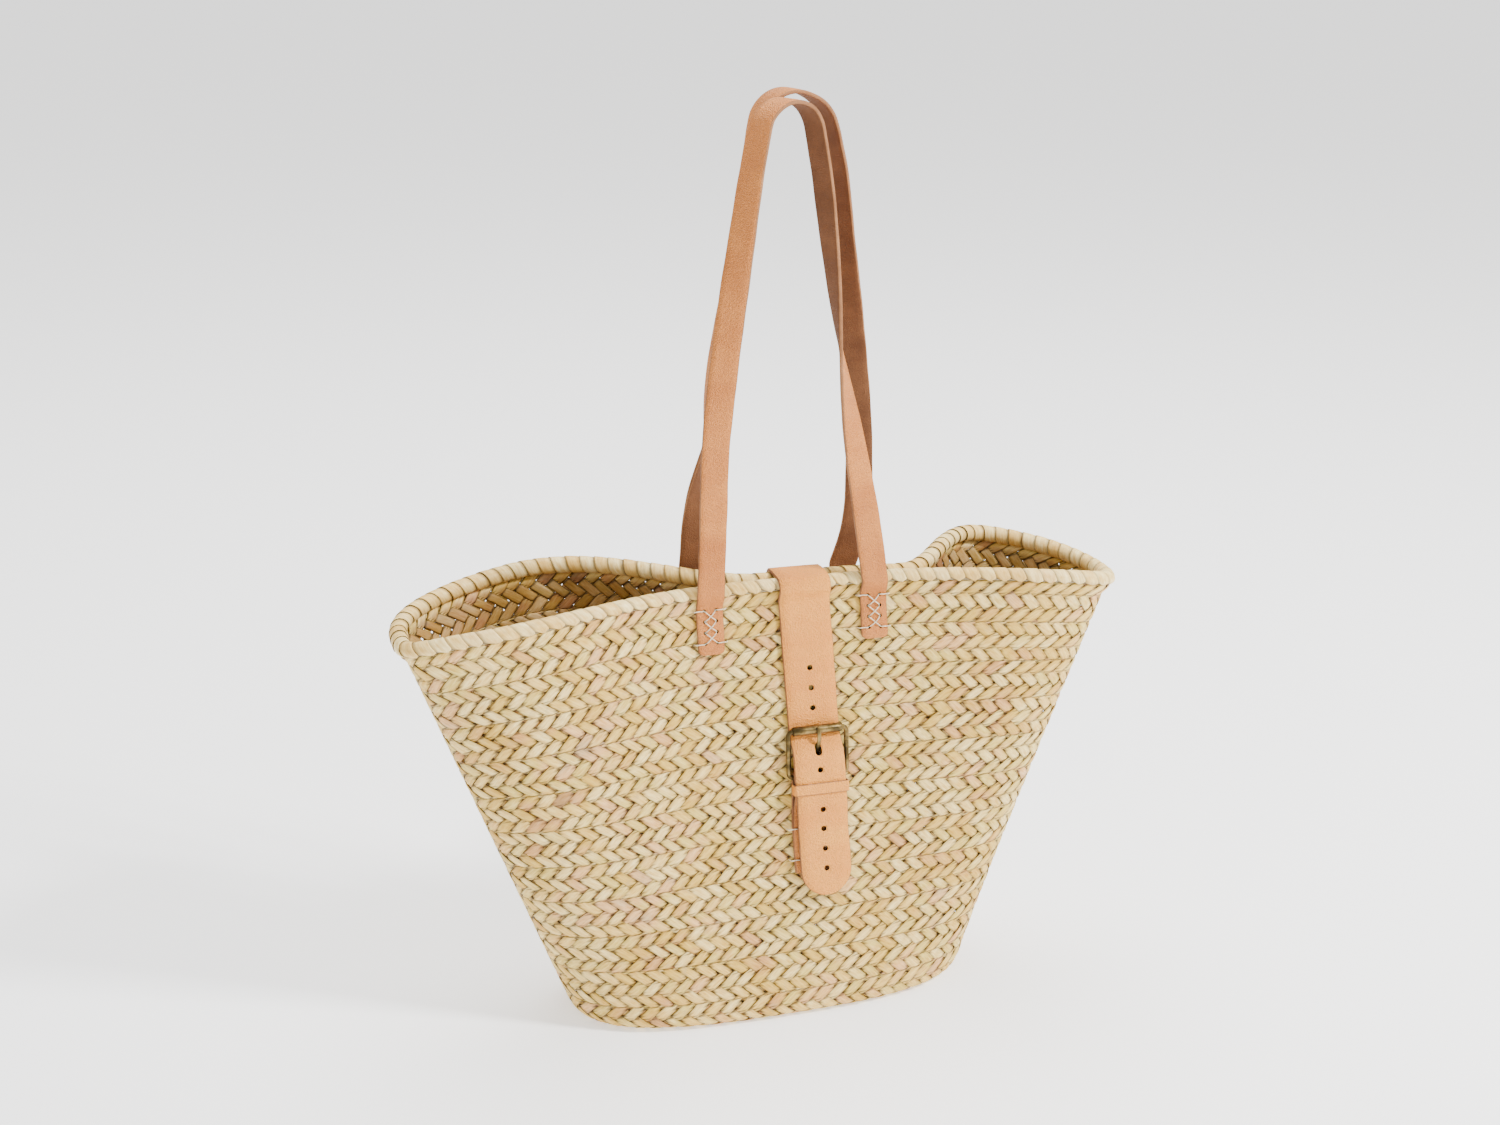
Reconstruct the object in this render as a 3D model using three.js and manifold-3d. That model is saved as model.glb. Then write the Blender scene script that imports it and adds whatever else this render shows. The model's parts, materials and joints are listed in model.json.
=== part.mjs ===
// A woven palm-leaf market basket with leather handles and a buckled closing strap.
// Millimetres, +Z up. The origin is on the floor, in the middle of the base.
// The front is on -Y, and the basket's length runs along X.
import * as THREE from "three";
import { LoftGeometry } from "three/addons/geometries/LoftGeometry.js";
import { mergeVertices } from "three/addons/utils/BufferGeometryUtils.js";
import Module from "manifold-3d";

// ---------------------------------------------------------------- driving dimensions

// The flat bottom, a squared oval.
const base = { halfLength: 160, halfWidth: 73, squareness: 2.75 };

// The wall: turns of one plaited braid, sewn edge to edge into a straight-sided wall.
const wall = {
  slant: 346,
  thickness: 3,
  courses: 11,
  seam: 0.3,
  footRadius: 14,
  footStretch: 1.6,
};

// The mouth: the two long sides meet along a pinch and open into a lobe at each end.
const mouth = {
  halfLength: 283,
  halfGap: 9.2,
  tipRise: 3,
  front: {
    pinchCentre: 18,
    pinchHalf: 62,
    left: { depth: 57, fullness: 0.44, spread: 192 },
    right: { depth: 57, fullness: 0.44, spread: 192 },
  },
  back: {
    pinchCentre: 56,
    pinchHalf: 58,
    left: { depth: 111, fullness: 0.77, spread: 184 },
    right: { depth: 144, fullness: 1.14, spread: 116 },
  },
};

// The rim: a round bundle bound with leaf strips over the wall's top edge.
const rim = { coreRadius: 5, bindingRadius: 7, bindingOpening: 30 };

// The two shoulder handles. Each tab starts where its leg crosses the rim.
const strap = { width: 21, thickness: 3 };
// A leg's outline lists heights and reaches from the handle's middle, as shares of the whole.
// Its twist is the turn from flat to edge-on: how far along the leg it starts, and its length.
const handles = {
  front: {
    left: {
      leg: -47.5,
      outline: [[0.17, 0.97], [0.32, 0.954], [0.52, 0.851], [0.72, 0.696], [0.91, 0.498], [0.978, 0.36]],
      twist: { start: 60, length: 350 },
    },
    right: {
      leg: 84,
      outline: [[0.135, 0.895], [0.284, 0.774], [0.49, 0.62], [0.7, 0.5], [0.89, 0.36], [0.972, 0.23]],
      twist: { start: 0, length: 320 },
    },
    rise: 368,
    apex: -0.06,
    lean: 11.4,
  },
  back: {
    left: {
      leg: -46.5,
      outline: [[0.12, 0.96], [0.268, 0.87], [0.48, 0.69], [0.687, 0.45], [0.884, 0.27], [0.97, 0.14]],
      twist: { start: 0, length: 175 },
    },
    right: {
      leg: 70,
      outline: [[0.1, 1.17], [0.25, 1.21], [0.46, 1.13], [0.667, 1.01], [0.87, 0.87], [0.965, 0.67]],
      twist: { start: 60, length: 330 },
    },
    rise: 371,
    apex: 0.2,
    lean: 18,
  },
};
const topTurn = THREE.MathUtils.degToRad(25);
const leanPower = 1.5;
const tab = { length: 46.5, corner: 4 };
// How leather leaves the wall to clear the rim's roll: distances below the rim, shares of the rise.
const stepOut = { start: 9, startShare: 0.33, end: 5.5, endShare: 0.8 };
const lacing = {
  rows: 4,
  firstRow: 12,
  rowPitch: 8.5,
  spacing: 9.4,
  hole: 1.3,
  thread: 1,
  overrun: 8.5,
};

// The closing strap, over both rims at the middle and down the front.
const closure = {
  width: 41,
  thickness: 3,
  topCentre: 27.6,
  tipCentre: 34,
  backLength: 58,
  foldAt: 171,
  tipAt: 245.5,
  firstHole: 64.8,
  holePitch: 15.9,
  holes: 11,
  holeRadius: 2.1,
  prongHole: 4,
  slotLength: 9,
  slotWidth: 5.2,
  bendLength: 20,
  bendMargin: 4,
};
const closureLacing = { ...lacing, rows: 3, firstRow: 22, rowPitch: 13, spacing: 26, overrun: 10 };

// The roller buckle on its folded leather chape, with a keeper loop below it.
const buckle = {
  rollerAt: 113,
  heelAt: 149.7,
  clearWidth: 43.4,
  insideCorner: 1.6,
  barRadius: 1.9,
  rollerPlay: 0.4,
  rollerWall: 1.2,
};
// The prong's bends are placed by their distances below the roller.
const prong = {
  width: 3.6,
  thickness: 1.8,
  eyeWall: 1.2,
  overReach: 3,
  riseFrom: 19,
  riseMiddle: 13,
  riseTo: 4.5,
};
const chape = {
  width: 40,
  thickness: 1.8,
  end: 226,
  foldEnd: 164,
  meetAt: 176,
  slotWidth: 5.2,
  slotSpare: 2,
  shift: 0.4,
  endShift: 3.5,
};
const chapeLacing = { ...lacing, rows: 2, firstRow: 191, rowPitch: 25, spacing: 30, overrun: 9 };
const keeper = { below: 4.8, height: 8.6, thickness: 1.4, play: 0.5 };

// Clearances between pieces.
const gap = 0.3;
const rest = 0.5;

// Fineness of the curved pieces.
const columnsPerQuarter = 10;
const tipCrowding = 1.4;
const footSteps = 4;
const loopSteps = 36;

// ---------------------------------------------------------------- materials

const look = (color, roughness, metalness = 0) =>
  new THREE.MeshStandardMaterial({ color, roughness, metalness, flatShading: true });
const palm = look(0xd9c795, 0.8);
const palmPale = look(0xe6dab2, 0.7);
const palmDark = look(0xb59a66, 0.85);
const leather = look(0xcf9f78, 0.65);
const leatherPale = look(0xdfb595, 0.6);
const thread = look(0xf1e2d0, 0.7);
const brass = look(0x7d6a44, 0.4, 0.9);

// ---------------------------------------------------------------- solids

const wasm = await Module();
wasm.setup();

const basket = new THREE.Group();

// A closed three.js geometry as a solid that can be cut and joined.
function solid(geometry) {
  const bare = new THREE.BufferGeometry();
  bare.setAttribute("position", geometry.getAttribute("position"));
  bare.setIndex(geometry.getIndex());
  const merged = mergeVertices(bare, 1e-4);
  const vertProperties = new Float32Array(merged.attributes.position.array);
  const triVerts = new Uint32Array(merged.index.array);
  const made = new wasm.Manifold(new wasm.Mesh({ numProp: 3, vertProperties, triVerts }));
  if (made.volume() > 0) return made;
  return new wasm.Manifold(
    new wasm.Mesh({ numProp: 3, vertProperties, triVerts: triVerts.slice().reverse() }),
  );
}

// One named piece of the basket.
function piece(name, body, material, parent = basket) {
  const { vertProperties, triVerts } = body.getMesh();
  const geometry = new THREE.BufferGeometry();
  geometry.setAttribute("position", new THREE.BufferAttribute(vertProperties, 3));
  geometry.setIndex(new THREE.BufferAttribute(triVerts, 1));
  const mesh = new THREE.Mesh(geometry, material);
  mesh.name = name;
  parent.add(mesh);
  return mesh;
}

// Sections joined into a bar with two ends, or into a closed ring.
const bar = (sections) => solid(new LoftGeometry(sections, { capStart: true, capEnd: true }));
const ring = (sections) => solid(new LoftGeometry([...sections, sections[0]]));

// A strap of even thickness. Each row holds its lower surface's points, from edge to edge.
function ribbon(rows, thickness) {
  const middles = rows.map((row) => row[0].clone().add(row[row.length - 1]).multiplyScalar(0.5));
  const sections = rows.map((row, i) => {
    const before = middles[Math.max(i - 1, 0)];
    const after = middles[Math.min(i + 1, rows.length - 1)];
    const along = after.clone().sub(before);
    const across = row[row.length - 1].clone().sub(row[0]);
    const up = across.cross(along).setLength(thickness);
    const upper = row.map((point) => point.clone().add(up));
    return [...upper, ...row.slice().reverse()];
  });
  return bar(sections);
}

// A round or square pin from one point to another.
function pin(from, to, radius, sides) {
  const along = to.clone().sub(from);
  const geometry = new THREE.CylinderGeometry(radius, radius, along.length(), sides);
  const turn = new THREE.Quaternion().setFromUnitVectors(
    new THREE.Vector3(0, 1, 0),
    along.clone().normalize(),
  );
  geometry.applyQuaternion(turn);
  geometry.translate(...from.clone().lerp(to, 0.5).toArray());
  return solid(geometry);
}

const join = (bodies) => bodies.reduce((whole, body) => whole.add(body));

// ---------------------------------------------------------------- the wall's surface

const quarterTurn = Math.PI / 2;
const smooth = (value) => THREE.MathUtils.smoothstep(value, 0, 1);

// Half a side of the mouth in plan, from its middle to the tip.
function mouthPlan(side, lobe, signX, angle) {
  const x = mouth.halfLength * Math.sin(angle);
  const beyondPinch = (x - signX * side.pinchCentre - side.pinchHalf) / lobe.spread;
  const open = smooth(beyondPinch);
  const lobeY = lobe.depth * Math.max(Math.cos(angle), 0) ** lobe.fullness;
  return new THREE.Vector2(x, THREE.MathUtils.lerp(mouth.halfGap, lobeY, open));
}

// A quarter of the base in plan, from its middle to the tip.
function basePlan(angle) {
  const power = 2 / base.squareness;
  const x = base.halfLength * Math.sin(angle) ** power;
  return new THREE.Vector2(x, base.halfWidth * Math.max(Math.cos(angle), 0) ** power);
}

// Stations along a plan curve, closer together towards the tip.
function stations(plan) {
  const fine = 120;
  const points = Array.from({ length: fine + 1 }, (_, i) => plan((i / fine) * quarterTurn));
  const reach = [0];
  for (let i = 1; i <= fine; i++) reach.push(reach[i - 1] + points[i].distanceTo(points[i - 1]));
  return Array.from({ length: columnsPerQuarter + 1 }, (_, j) => {
    const share = 1 - (1 - j / columnsPerQuarter) ** tipCrowding;
    const goal = share * reach[fine];
    const after = Math.min(Math.max(reach.findIndex((length) => length >= goal), 1), fine);
    const part = (goal - reach[after - 1]) / (reach[after] - reach[after - 1]);
    return points[after - 1].clone().lerp(points[after], part);
  });
}

// Pairs of matching points on the base and on the mouth, all round from the front's middle.
function wallColumns() {
  const foot = stations(basePlan);
  const quarter = (side, lobe, signX, signY) => {
    const top = stations((angle) => mouthPlan(side, lobe, signX, angle));
    return foot.map((low, j) => {
      const run = Math.hypot(top[j].x - low.x, top[j].y - low.y);
      const rise = mouth.tipRise * (top[j].x / mouth.halfLength) ** 4;
      const height = Math.sqrt(wall.slant ** 2 - run ** 2) + rise;
      return {
        foot: new THREE.Vector3(signX * low.x, signY * low.y, 0),
        top: new THREE.Vector3(signX * top[j].x, signY * top[j].y, height),
      };
    });
  };
  const frontRight = quarter(mouth.front, mouth.front.right, 1, -1);
  const backRight = quarter(mouth.back, mouth.back.right, 1, 1);
  const backLeft = quarter(mouth.back, mouth.back.left, -1, 1);
  const frontLeft = quarter(mouth.front, mouth.front.left, -1, -1);
  return [
    ...frontRight.slice(0, -1),
    ...backRight.slice(1).reverse(),
    ...backLeft.slice(0, -1),
    ...frontLeft.slice(1).reverse(),
  ];
}

const columns = wallColumns();
const count = columns.length;
const neighbour = (i, step) => columns[(i + step + count) % count];
const footArc = wall.footStretch * wall.footRadius;
const rimAt = footArc + wall.slant - wall.footRadius;

// A point on the outside of a column, at a distance along it from the base's edge.
function profilePoint(i, distance) {
  const { foot, top } = columns[i];
  const up = top.clone().sub(foot).normalize();
  if (distance > footArc) {
    return foot.clone().addScaledVector(up, distance - footArc + wall.footRadius);
  }
  const around = neighbour(i, 1).foot.clone().sub(neighbour(i, -1).foot);
  const inward = new THREE.Vector3(-around.y, around.x, 0).normalize();
  const start = foot.clone().addScaledVector(inward, wall.footRadius);
  const end = foot.clone().addScaledVector(up, wall.footRadius);
  return new THREE.QuadraticBezierCurve3(start, foot, end).getPoint(distance / footArc);
}

// The direction out of the wall at a column.
function outward(i, distance) {
  const step = 1;
  const low = Math.max(distance - step, 0);
  const right = profilePoint((i + 1) % count, distance);
  const around = right.sub(profilePoint((i - 1 + count) % count, distance));
  const up = profilePoint(i, low + 2 * step).sub(profilePoint(i, low));
  return around.cross(up).normalize();
}

// All the wall's points at one distance up it, moved out by an offset.
function skin(distance, offset) {
  return columns.map((_, i) =>
    profilePoint(i, distance).addScaledVector(outward(i, distance), offset),
  );
}

// A point over the front or back face, at a length along X, below the rim's middle and out.
function onFace(side, x, below, offset) {
  const round = skin(rimAt - below, offset);
  const start = side === "front" ? 3 * columnsPerQuarter : columnsPerQuarter;
  const face = Array.from({ length: 2 * columnsPerQuarter + 1 }, (_, j) => round[(start + j) % count]);
  if (side === "back") face.reverse();
  const after = Math.min(Math.max(face.findIndex((point) => point.x >= x), 1), face.length - 1);
  const part = (x - face[after - 1].x) / (face[after].x - face[after - 1].x);
  return face[after - 1].clone().lerp(face[after], part);
}

// A row of strap points across a face, in the order that makes the strap rise off the wall.
function faceRow(side, x, halfWidth, below, offset) {
  const row = [-1, 1].map((edge) => onFace(side, x + edge * halfWidth, below, offset));
  return side === "front" ? row : row.reverse();
}

// ---------------------------------------------------------------- the woven body

function makeBase() {
  const outline = skin(0, 0).map((point, i) => {
    const around = neighbour(i, 1).foot.clone().sub(neighbour(i, -1).foot);
    const inward = new THREE.Vector2(-around.y, around.x).setLength(gap);
    return new THREE.Vector2(point.x, point.y).add(inward);
  });
  const sheet = new THREE.ExtrudeGeometry(new THREE.Shape(outline), {
    depth: wall.thickness,
    bevelEnabled: false,
  });
  piece("woven_base", solid(sheet), palm);
}

function makeCourses() {
  const wallTop = rimAt - rim.coreRadius - gap;
  const pitch = wallTop / wall.courses;
  for (let k = 0; k < wall.courses; k++) {
    const low = k * pitch + (k ? wall.seam / 2 : 0);
    const high = (k + 1) * pitch - wall.seam / 2;
    const steps = k ? 1 : footSteps;
    const levels = Array.from({ length: steps + 1 }, (_, j) => low + ((high - low) * j) / steps);
    const outside = levels.map((level) => skin(level, 0));
    const inside = levels.map((level) => skin(level, -wall.thickness));
    const sections = columns.map((_, i) => [
      ...outside.map((round) => round[i]),
      ...inside.map((round) => round[i]).reverse(),
    ]);
    piece(`wall_course_${String(k + 1).padStart(2, "0")}`, ring(sections), palm);
  }
}

// The rim's cross-sections: points at angles from straight up, at a radius from its middle.
function rimSections(points) {
  return columns.map((_, i) => {
    const out = outward(i, rimAt);
    const up = profilePoint(i, rimAt).sub(profilePoint(i, rimAt - 1)).normalize();
    const middle = profilePoint(i, rimAt).addScaledVector(out, -wall.thickness / 2);
    return points.map(({ angle, radius }) =>
      middle
        .clone()
        .addScaledVector(up, radius * Math.cos(angle))
        .addScaledVector(out, radius * Math.sin(angle)),
    );
  });
}

function makeRim() {
  const coreSides = 6;
  const core = Array.from({ length: coreSides }, (_, j) => ({
    angle: ((j + 0.5) / coreSides) * 2 * Math.PI,
    radius: rim.coreRadius,
  }));
  piece("rim_core", ring(rimSections(core)), palmDark);
  const reach = Math.PI - THREE.MathUtils.degToRad(rim.bindingOpening);
  const steps = 6;
  const angles = Array.from({ length: steps + 1 }, (_, j) => reach * ((2 * j) / steps - 1));
  const outer = angles.map((angle) => ({ angle, radius: rim.bindingRadius }));
  const inner = angles.map((angle) => ({ angle, radius: rim.coreRadius + 2 * gap }));
  piece("rim_binding", ring(rimSections([...outer, ...inner.reverse()])), palmPale);
}

// ---------------------------------------------------------------- laced leather

// Where the holes of a laced patch are, as rows of two, from the top one down.
// A patch is given by its edges, as a function of the distance below the rim and the offset.
function lacingPoints(edgesAt, pattern, offset) {
  return Array.from({ length: pattern.rows }, (_, j) => {
    const [left, right] = edgesAt(pattern.firstRow + j * pattern.rowPitch, offset);
    const inset = (1 - pattern.spacing / left.distanceTo(right)) / 2;
    return [left.clone().lerp(right, inset), right.clone().lerp(left, inset)];
  });
}

// Pins through a patch at the lacing's holes.
function lacingPins(edgesAt, pattern, from, to, radius, sides) {
  const low = lacingPoints(edgesAt, pattern, from).flat();
  const high = lacingPoints(edgesAt, pattern, to).flat();
  return join(low.map((point, i) => pin(point, high[i], radius, sides)));
}

// The thread: crosses between the rows, and a run past the edges along the first and last rows.
function laceThread(name, edgesAt, pattern, surface, depth) {
  const radius = pattern.thread / 2;
  const level = surface + 2 * gap + radius;
  const rows = lacingPoints(edgesAt, pattern, level);
  const runs = [];
  for (let j = 1; j < rows.length; j++) {
    runs.push(pin(rows[j - 1][0], rows[j][1], radius, 3));
    runs.push(pin(rows[j - 1][1], rows[j][0], radius, 3));
  }
  for (const [left, right] of [rows[0], rows[rows.length - 1]]) {
    const over = right.clone().sub(left).setLength(pattern.overrun);
    runs.push(pin(left.clone().sub(over), right.clone().add(over), radius, 3));
  }
  const legs = lacingPins(edgesAt, pattern, surface - depth, level, radius, 3);
  piece(name, join(runs).add(legs), thread);
}

// ---------------------------------------------------------------- handles

const reachOfRoll = rim.bindingRadius - wall.thickness / 2 + rest;

// The line on the strap's outer face, level with the rim, that a handle folds about.
function foldLine(side) {
  const leftLeg = handles[side].left.leg;
  const rightLeg = handles[side].right.leg;
  const outSign = side === "front" ? -1 : 1;
  const legEnd = (x, slope) => {
    const edges = [-1, 1].map((edge) => onFace(side, x + (edge * strap.width) / 2, 0, reachOfRoll));
    const far = Math.max(...edges.map((point) => outSign * (point.y - slope * (point.x - x))));
    const y = outSign * (far + strap.thickness + rest);
    return new THREE.Vector3(x, y, (edges[0].z + edges[1].z) / 2);
  };
  let ends = [new THREE.Vector3(leftLeg), new THREE.Vector3(rightLeg)];
  for (let pass = 0; pass < 3; pass++) {
    const slope = (ends[1].y - ends[0].y) / (ends[1].x - ends[0].x);
    ends = [legEnd(leftLeg, slope), legEnd(rightLeg, slope)];
  }
  const level = (ends[0].z + ends[1].z) / 2;
  ends.forEach((end) => end.setZ(level));
  const along = ends[1].clone().sub(ends[0]).normalize();
  const out = new THREE.Vector3(outSign * -along.y, outSign * along.x, 0);
  return { left: ends[0], right: ends[1], along, out, level };
}

// A tab: flat on the wall, then out over the rim's roll to the fold line.
function makeTab(side, name, x, fold, foldPoint) {
  const half = strap.width / 2;
  const rounding = [
    [tab.length, half - tab.corner],
    [tab.length - tab.corner / 3, half - tab.corner / 3],
    [tab.length - tab.corner, half],
  ];
  const flat = [
    ...rounding.map(([below, width]) => faceRow(side, x, width, below, rest)),
    faceRow(side, x, half, (tab.length + stepOut.start) / 2, rest),
    faceRow(side, x, half, stepOut.start + strap.thickness, rest),
    faceRow(side, x, half, stepOut.start, reachOfRoll * stepOut.startShare),
    faceRow(side, x, half, stepOut.end, reachOfRoll * stepOut.endShare),
  ];
  const inner = foldPoint.clone().addScaledVector(fold.out, -strap.thickness).setZ(fold.level - gap);
  const top = [-1, 1].map((edge) => inner.clone().addScaledVector(fold.along, edge * half));
  const rows = [...flat, side === "front" ? top : top.reverse()];
  const edgesAt = (below, offset) => faceRow(side, x, half, below, offset);
  const holes = lacingPins(edgesAt, lacing, -gap, strap.thickness + 2 * rest, lacing.hole, 4);
  piece(`${name}_tab`, ribbon(rows, strap.thickness).subtract(holes), leather);
  laceThread(`${name}_stitching`, edgesAt, lacing, rest + strap.thickness, strap.thickness);
}

// A loop: two legs that rise, lean in over the mouth, and turn on edge towards the top.
// The loop's upper part is also turned about the vertical, its left side to the front.
function makeLoop(side, fold) {
  const shape = handles[side];
  const middle = fold.left.clone().add(fold.right).multiplyScalar(0.5);
  const halfSpan = fold.left.distanceTo(fold.right) / 2;
  const upright = new THREE.Vector3(0, 0, 1);
  const deep = upright.clone().cross(fold.along);
  const place = (share, reach) => {
    const point = middle.clone().addScaledVector(fold.out, -shape.lean * share ** leanPower);
    point.addScaledVector(fold.along, reach * halfSpan);
    point.addScaledVector(deep, reach * halfSpan * Math.sin(topTurn) * smooth(share));
    return point.setZ(fold.level + shape.rise * share);
  };
  const leftLeg = [[0, 1], ...shape.left.outline].map(([share, reach]) => place(share, -reach));
  const rightLeg = [[0, 1], ...shape.right.outline].map(([share, reach]) => place(share, reach));
  const knots = [...leftLeg, place(1, shape.apex), ...rightLeg.reverse()];
  const path = new THREE.CatmullRomCurve3(knots, false, "centripetal");
  const length = path.getLength();
  const edgeOn = deep.clone().negate().applyAxisAngle(upright, topTurn);
  const rows = Array.from({ length: loopSteps + 1 }, (_, j) => {
    const share = j / loopSteps;
    const tangent = path.getTangentAt(share);
    const onLeft = share < 0.5;
    const { start, length: twistLength } = onLeft ? shape.left.twist : shape.right.twist;
    const reach = length * (onLeft ? share : 1 - share);
    const turn = quarterTurn * smooth((reach - start) / twistLength);
    const flat = fold.out.clone().projectOnPlane(tangent).normalize();
    const radial = edgeOn.clone().cross(tangent).normalize();
    const face = flat.multiplyScalar(Math.cos(turn)).addScaledVector(radial, Math.sin(turn));
    const across = tangent.clone().cross(face).normalize();
    const lift = across.clone().cross(tangent).setLength(-strap.thickness);
    const under = path.getPointAt(share).add(lift);
    const row = [-1, 1].map((edge) => under.clone().addScaledVector(across, (edge * strap.width) / 2));
    if (j === 0 || j === loopSteps) row.forEach((point) => point.setZ(fold.level + gap));
    return row;
  });
  piece(`${side}_handle`, ribbon(rows, strap.thickness), leather);
}

function makeHandles() {
  for (const side of ["front", "back"]) {
    const fold = foldLine(side);
    makeTab(side, `${side}_left`, handles[side].left.leg, fold, fold.left);
    makeTab(side, `${side}_right`, handles[side].right.leg, fold, fold.right);
    makeLoop(side, fold);
  }
}

// ---------------------------------------------------------------- closing strap

const rollerInner = buckle.barRadius + buckle.rollerPlay;
const rollerOuter = rollerInner + buckle.rollerWall;
const heelOffset = rest + chape.thickness + gap + buckle.barRadius;
const foldRadius = buckle.barRadius + gap + chape.thickness;
const overHeel = heelOffset + foldRadius + gap;
const rollerOffset = rest + closure.thickness + gap + rollerOuter;
const chapeFace = rest + 2 * chape.thickness + gap;
const tailOffset = chapeFace + 3 * gap + lacing.thread;

// The strap's middle across the front at a distance below the rim.
function closureCentre(below) {
  const share = THREE.MathUtils.clamp(below / closure.tipAt, 0, 1);
  return THREE.MathUtils.lerp(closure.topCentre, closure.tipCentre, share);
}

// A row of the closing strap, always listed from -X to +X.
function closureRow(side, below, offset, halfWidth = closure.width / 2) {
  const x = side === "front" ? closureCentre(below) : closure.topCentre;
  return [-1, 1].map((edge) => onFace(side, x + edge * halfWidth, below, offset));
}

// Rows over one rim, from the wall to the top of the roll.
function overRollRows(side) {
  const radius = rim.bindingRadius + 2 * rest;
  const middle = -wall.thickness / 2;
  const slant = radius * Math.SQRT1_2;
  return [
    closureRow(side, stepOut.start + closure.thickness, rest),
    closureRow(side, stepOut.start, (middle + radius) * stepOut.startShare),
    closureRow(side, stepOut.end, (middle + radius) * stepOut.endShare),
    closureRow(side, 0, middle + radius),
    closureRow(side, -slant, middle + slant),
    closureRow(side, -radius, middle),
  ];
}

// A punched hole, or a slot, through the strap.
function punch(below, length, width) {
  const x = closureCentre(below);
  const corners = [[-1, 1], [1, 1], [1, -1], [-1, -1]];
  const level = (offset) =>
    corners.map(([edge, end]) =>
      onFace("front", x + (edge * width) / 2, below + (end * length) / 2, offset),
    );
  return bar([level(0), level(overHeel + 2 * closure.thickness)]);
}

function holePin(below) {
  const x = closureCentre(below);
  const low = onFace("front", x, below, 0);
  const high = onFace("front", x, below, overHeel + 2 * closure.thickness);
  return pin(low, high, closure.holeRadius, 8);
}

function makeClosure() {
  const bendStart = buckle.rollerAt + rest;
  const bendSteps = 6;
  const bend = Array.from({ length: bendSteps + 1 }, (_, j) => {
    const share = 1 - j / bendSteps;
    const offset = THREE.MathUtils.lerp(rest, overHeel, smooth(share));
    return closureRow("front", bendStart + closure.bendLength * share, offset);
  });
  const rows = [
    closureRow("front", closure.foldAt, overHeel),
    closureRow("front", buckle.heelAt, overHeel),
    ...bend,
    closureRow("front", buckle.rollerAt - closure.bendMargin, rest),
    closureRow("front", closure.firstHole, rest),
    ...overRollRows("front"),
    ...overRollRows("back").reverse(),
    closureRow("back", closure.backLength / 2, rest),
    closureRow("back", closure.backLength, rest),
  ];
  let body = ribbon(rows, closure.thickness);
  const tipRadius = closure.width / 2;
  const tipDegrees = [15, 35, 55, 75];
  const tip = tipDegrees.map((degrees) => {
    const angle = THREE.MathUtils.degToRad(degrees);
    const below = closure.tipAt - tipRadius * (1 - Math.cos(angle));
    return closureRow("front", below, tailOffset, tipRadius * Math.sin(angle));
  });
  let tail = ribbon(
    [
      ...tip,
      closureRow("front", closure.tipAt - tipRadius, tailOffset),
      closureRow("front", chapeLacing.firstRow - closure.bendMargin, tailOffset),
      closureRow("front", closure.foldAt + closure.thickness, overHeel),
      closureRow("front", closure.foldAt + gap, overHeel),
    ],
    closure.thickness,
  );
  for (let k = 0; k < closure.holes; k++) {
    const below = closure.firstHole + k * closure.holePitch;
    const slotted = k === closure.prongHole;
    if (slotted) body = body.subtract(punch(below, closure.slotLength, closure.slotWidth));
    else if (below < closure.foldAt) body = body.subtract(holePin(below));
    else tail = tail.subtract(holePin(below));
  }
  const backEdges = (below, offset) => closureRow("back", below, offset);
  const through = closure.thickness + 2 * rest;
  body = body.subtract(lacingPins(backEdges, closureLacing, -gap, through, lacing.hole, 4));
  piece("closure_strap", body, leatherPale);
  piece("closure_tail", tail, leatherPale);
  const face = rest + closure.thickness;
  laceThread("closure_stitching", backEdges, closureLacing, face, closure.thickness);
}

// ---------------------------------------------------------------- buckle and keeper

// A group whose X runs across the strap, Y up it and Z out, from the middle of its lower row.
function strapGroup([lowLeft, lowRight], [highLeft, highRight]) {
  const low = lowLeft.clone().lerp(lowRight, 0.5);
  const rise = highLeft.clone().lerp(highRight, 0.5).sub(low);
  const across = lowRight.clone().sub(lowLeft).normalize();
  const out = across.clone().cross(rise).normalize();
  const up = out.clone().cross(across);
  const group = new THREE.Group();
  group.quaternion.setFromRotationMatrix(new THREE.Matrix4().makeBasis(across, up, out));
  group.position.copy(low);
  basket.add(group);
  return { group, length: rise.length() };
}

// A ring turned about X, of a square section.
function turnedRing(innerRadius, outerRadius, width, sides) {
  const half = width / 2;
  const profile = [
    [innerRadius, -half],
    [outerRadius, -half],
    [outerRadius, half],
    [innerRadius, half],
    [innerRadius, -half],
  ].map(([r, along]) => new THREE.Vector2(r, along));
  return solid(new THREE.LatheGeometry(profile, sides).rotateZ(quarterTurn));
}

// The wire frame: a round bar bent into a rectangle with rounded corners.
function makeBuckleFrame({ group, length }) {
  const halfWidth = buckle.clearWidth / 2 + buckle.barRadius;
  const corner = buckle.insideCorner + buckle.barRadius;
  const sides = 8;
  const arcSteps = 3;
  const corners = [
    [halfWidth - corner, length - corner, 0],
    [corner - halfWidth, length - corner, 1],
    [corner - halfWidth, corner, 2],
    [halfWidth - corner, corner, 3],
  ];
  const sections = corners.flatMap(([x, y, quarter]) =>
    Array.from({ length: arcSteps + 1 }, (_, j) => {
      const heading = (quarter + j / arcSteps) * quarterTurn;
      const out = new THREE.Vector3(Math.cos(heading), Math.sin(heading), 0);
      const middle = new THREE.Vector3(x, y, 0).addScaledVector(out, corner);
      return Array.from({ length: sides }, (_, k) => {
        const angle = (k / sides) * 2 * Math.PI;
        const point = middle.clone().addScaledVector(out, buckle.barRadius * Math.cos(angle));
        return point.setZ(buckle.barRadius * Math.sin(angle));
      });
    }),
  );
  piece("buckle_frame", ring(sections), brass, group);
}

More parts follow.
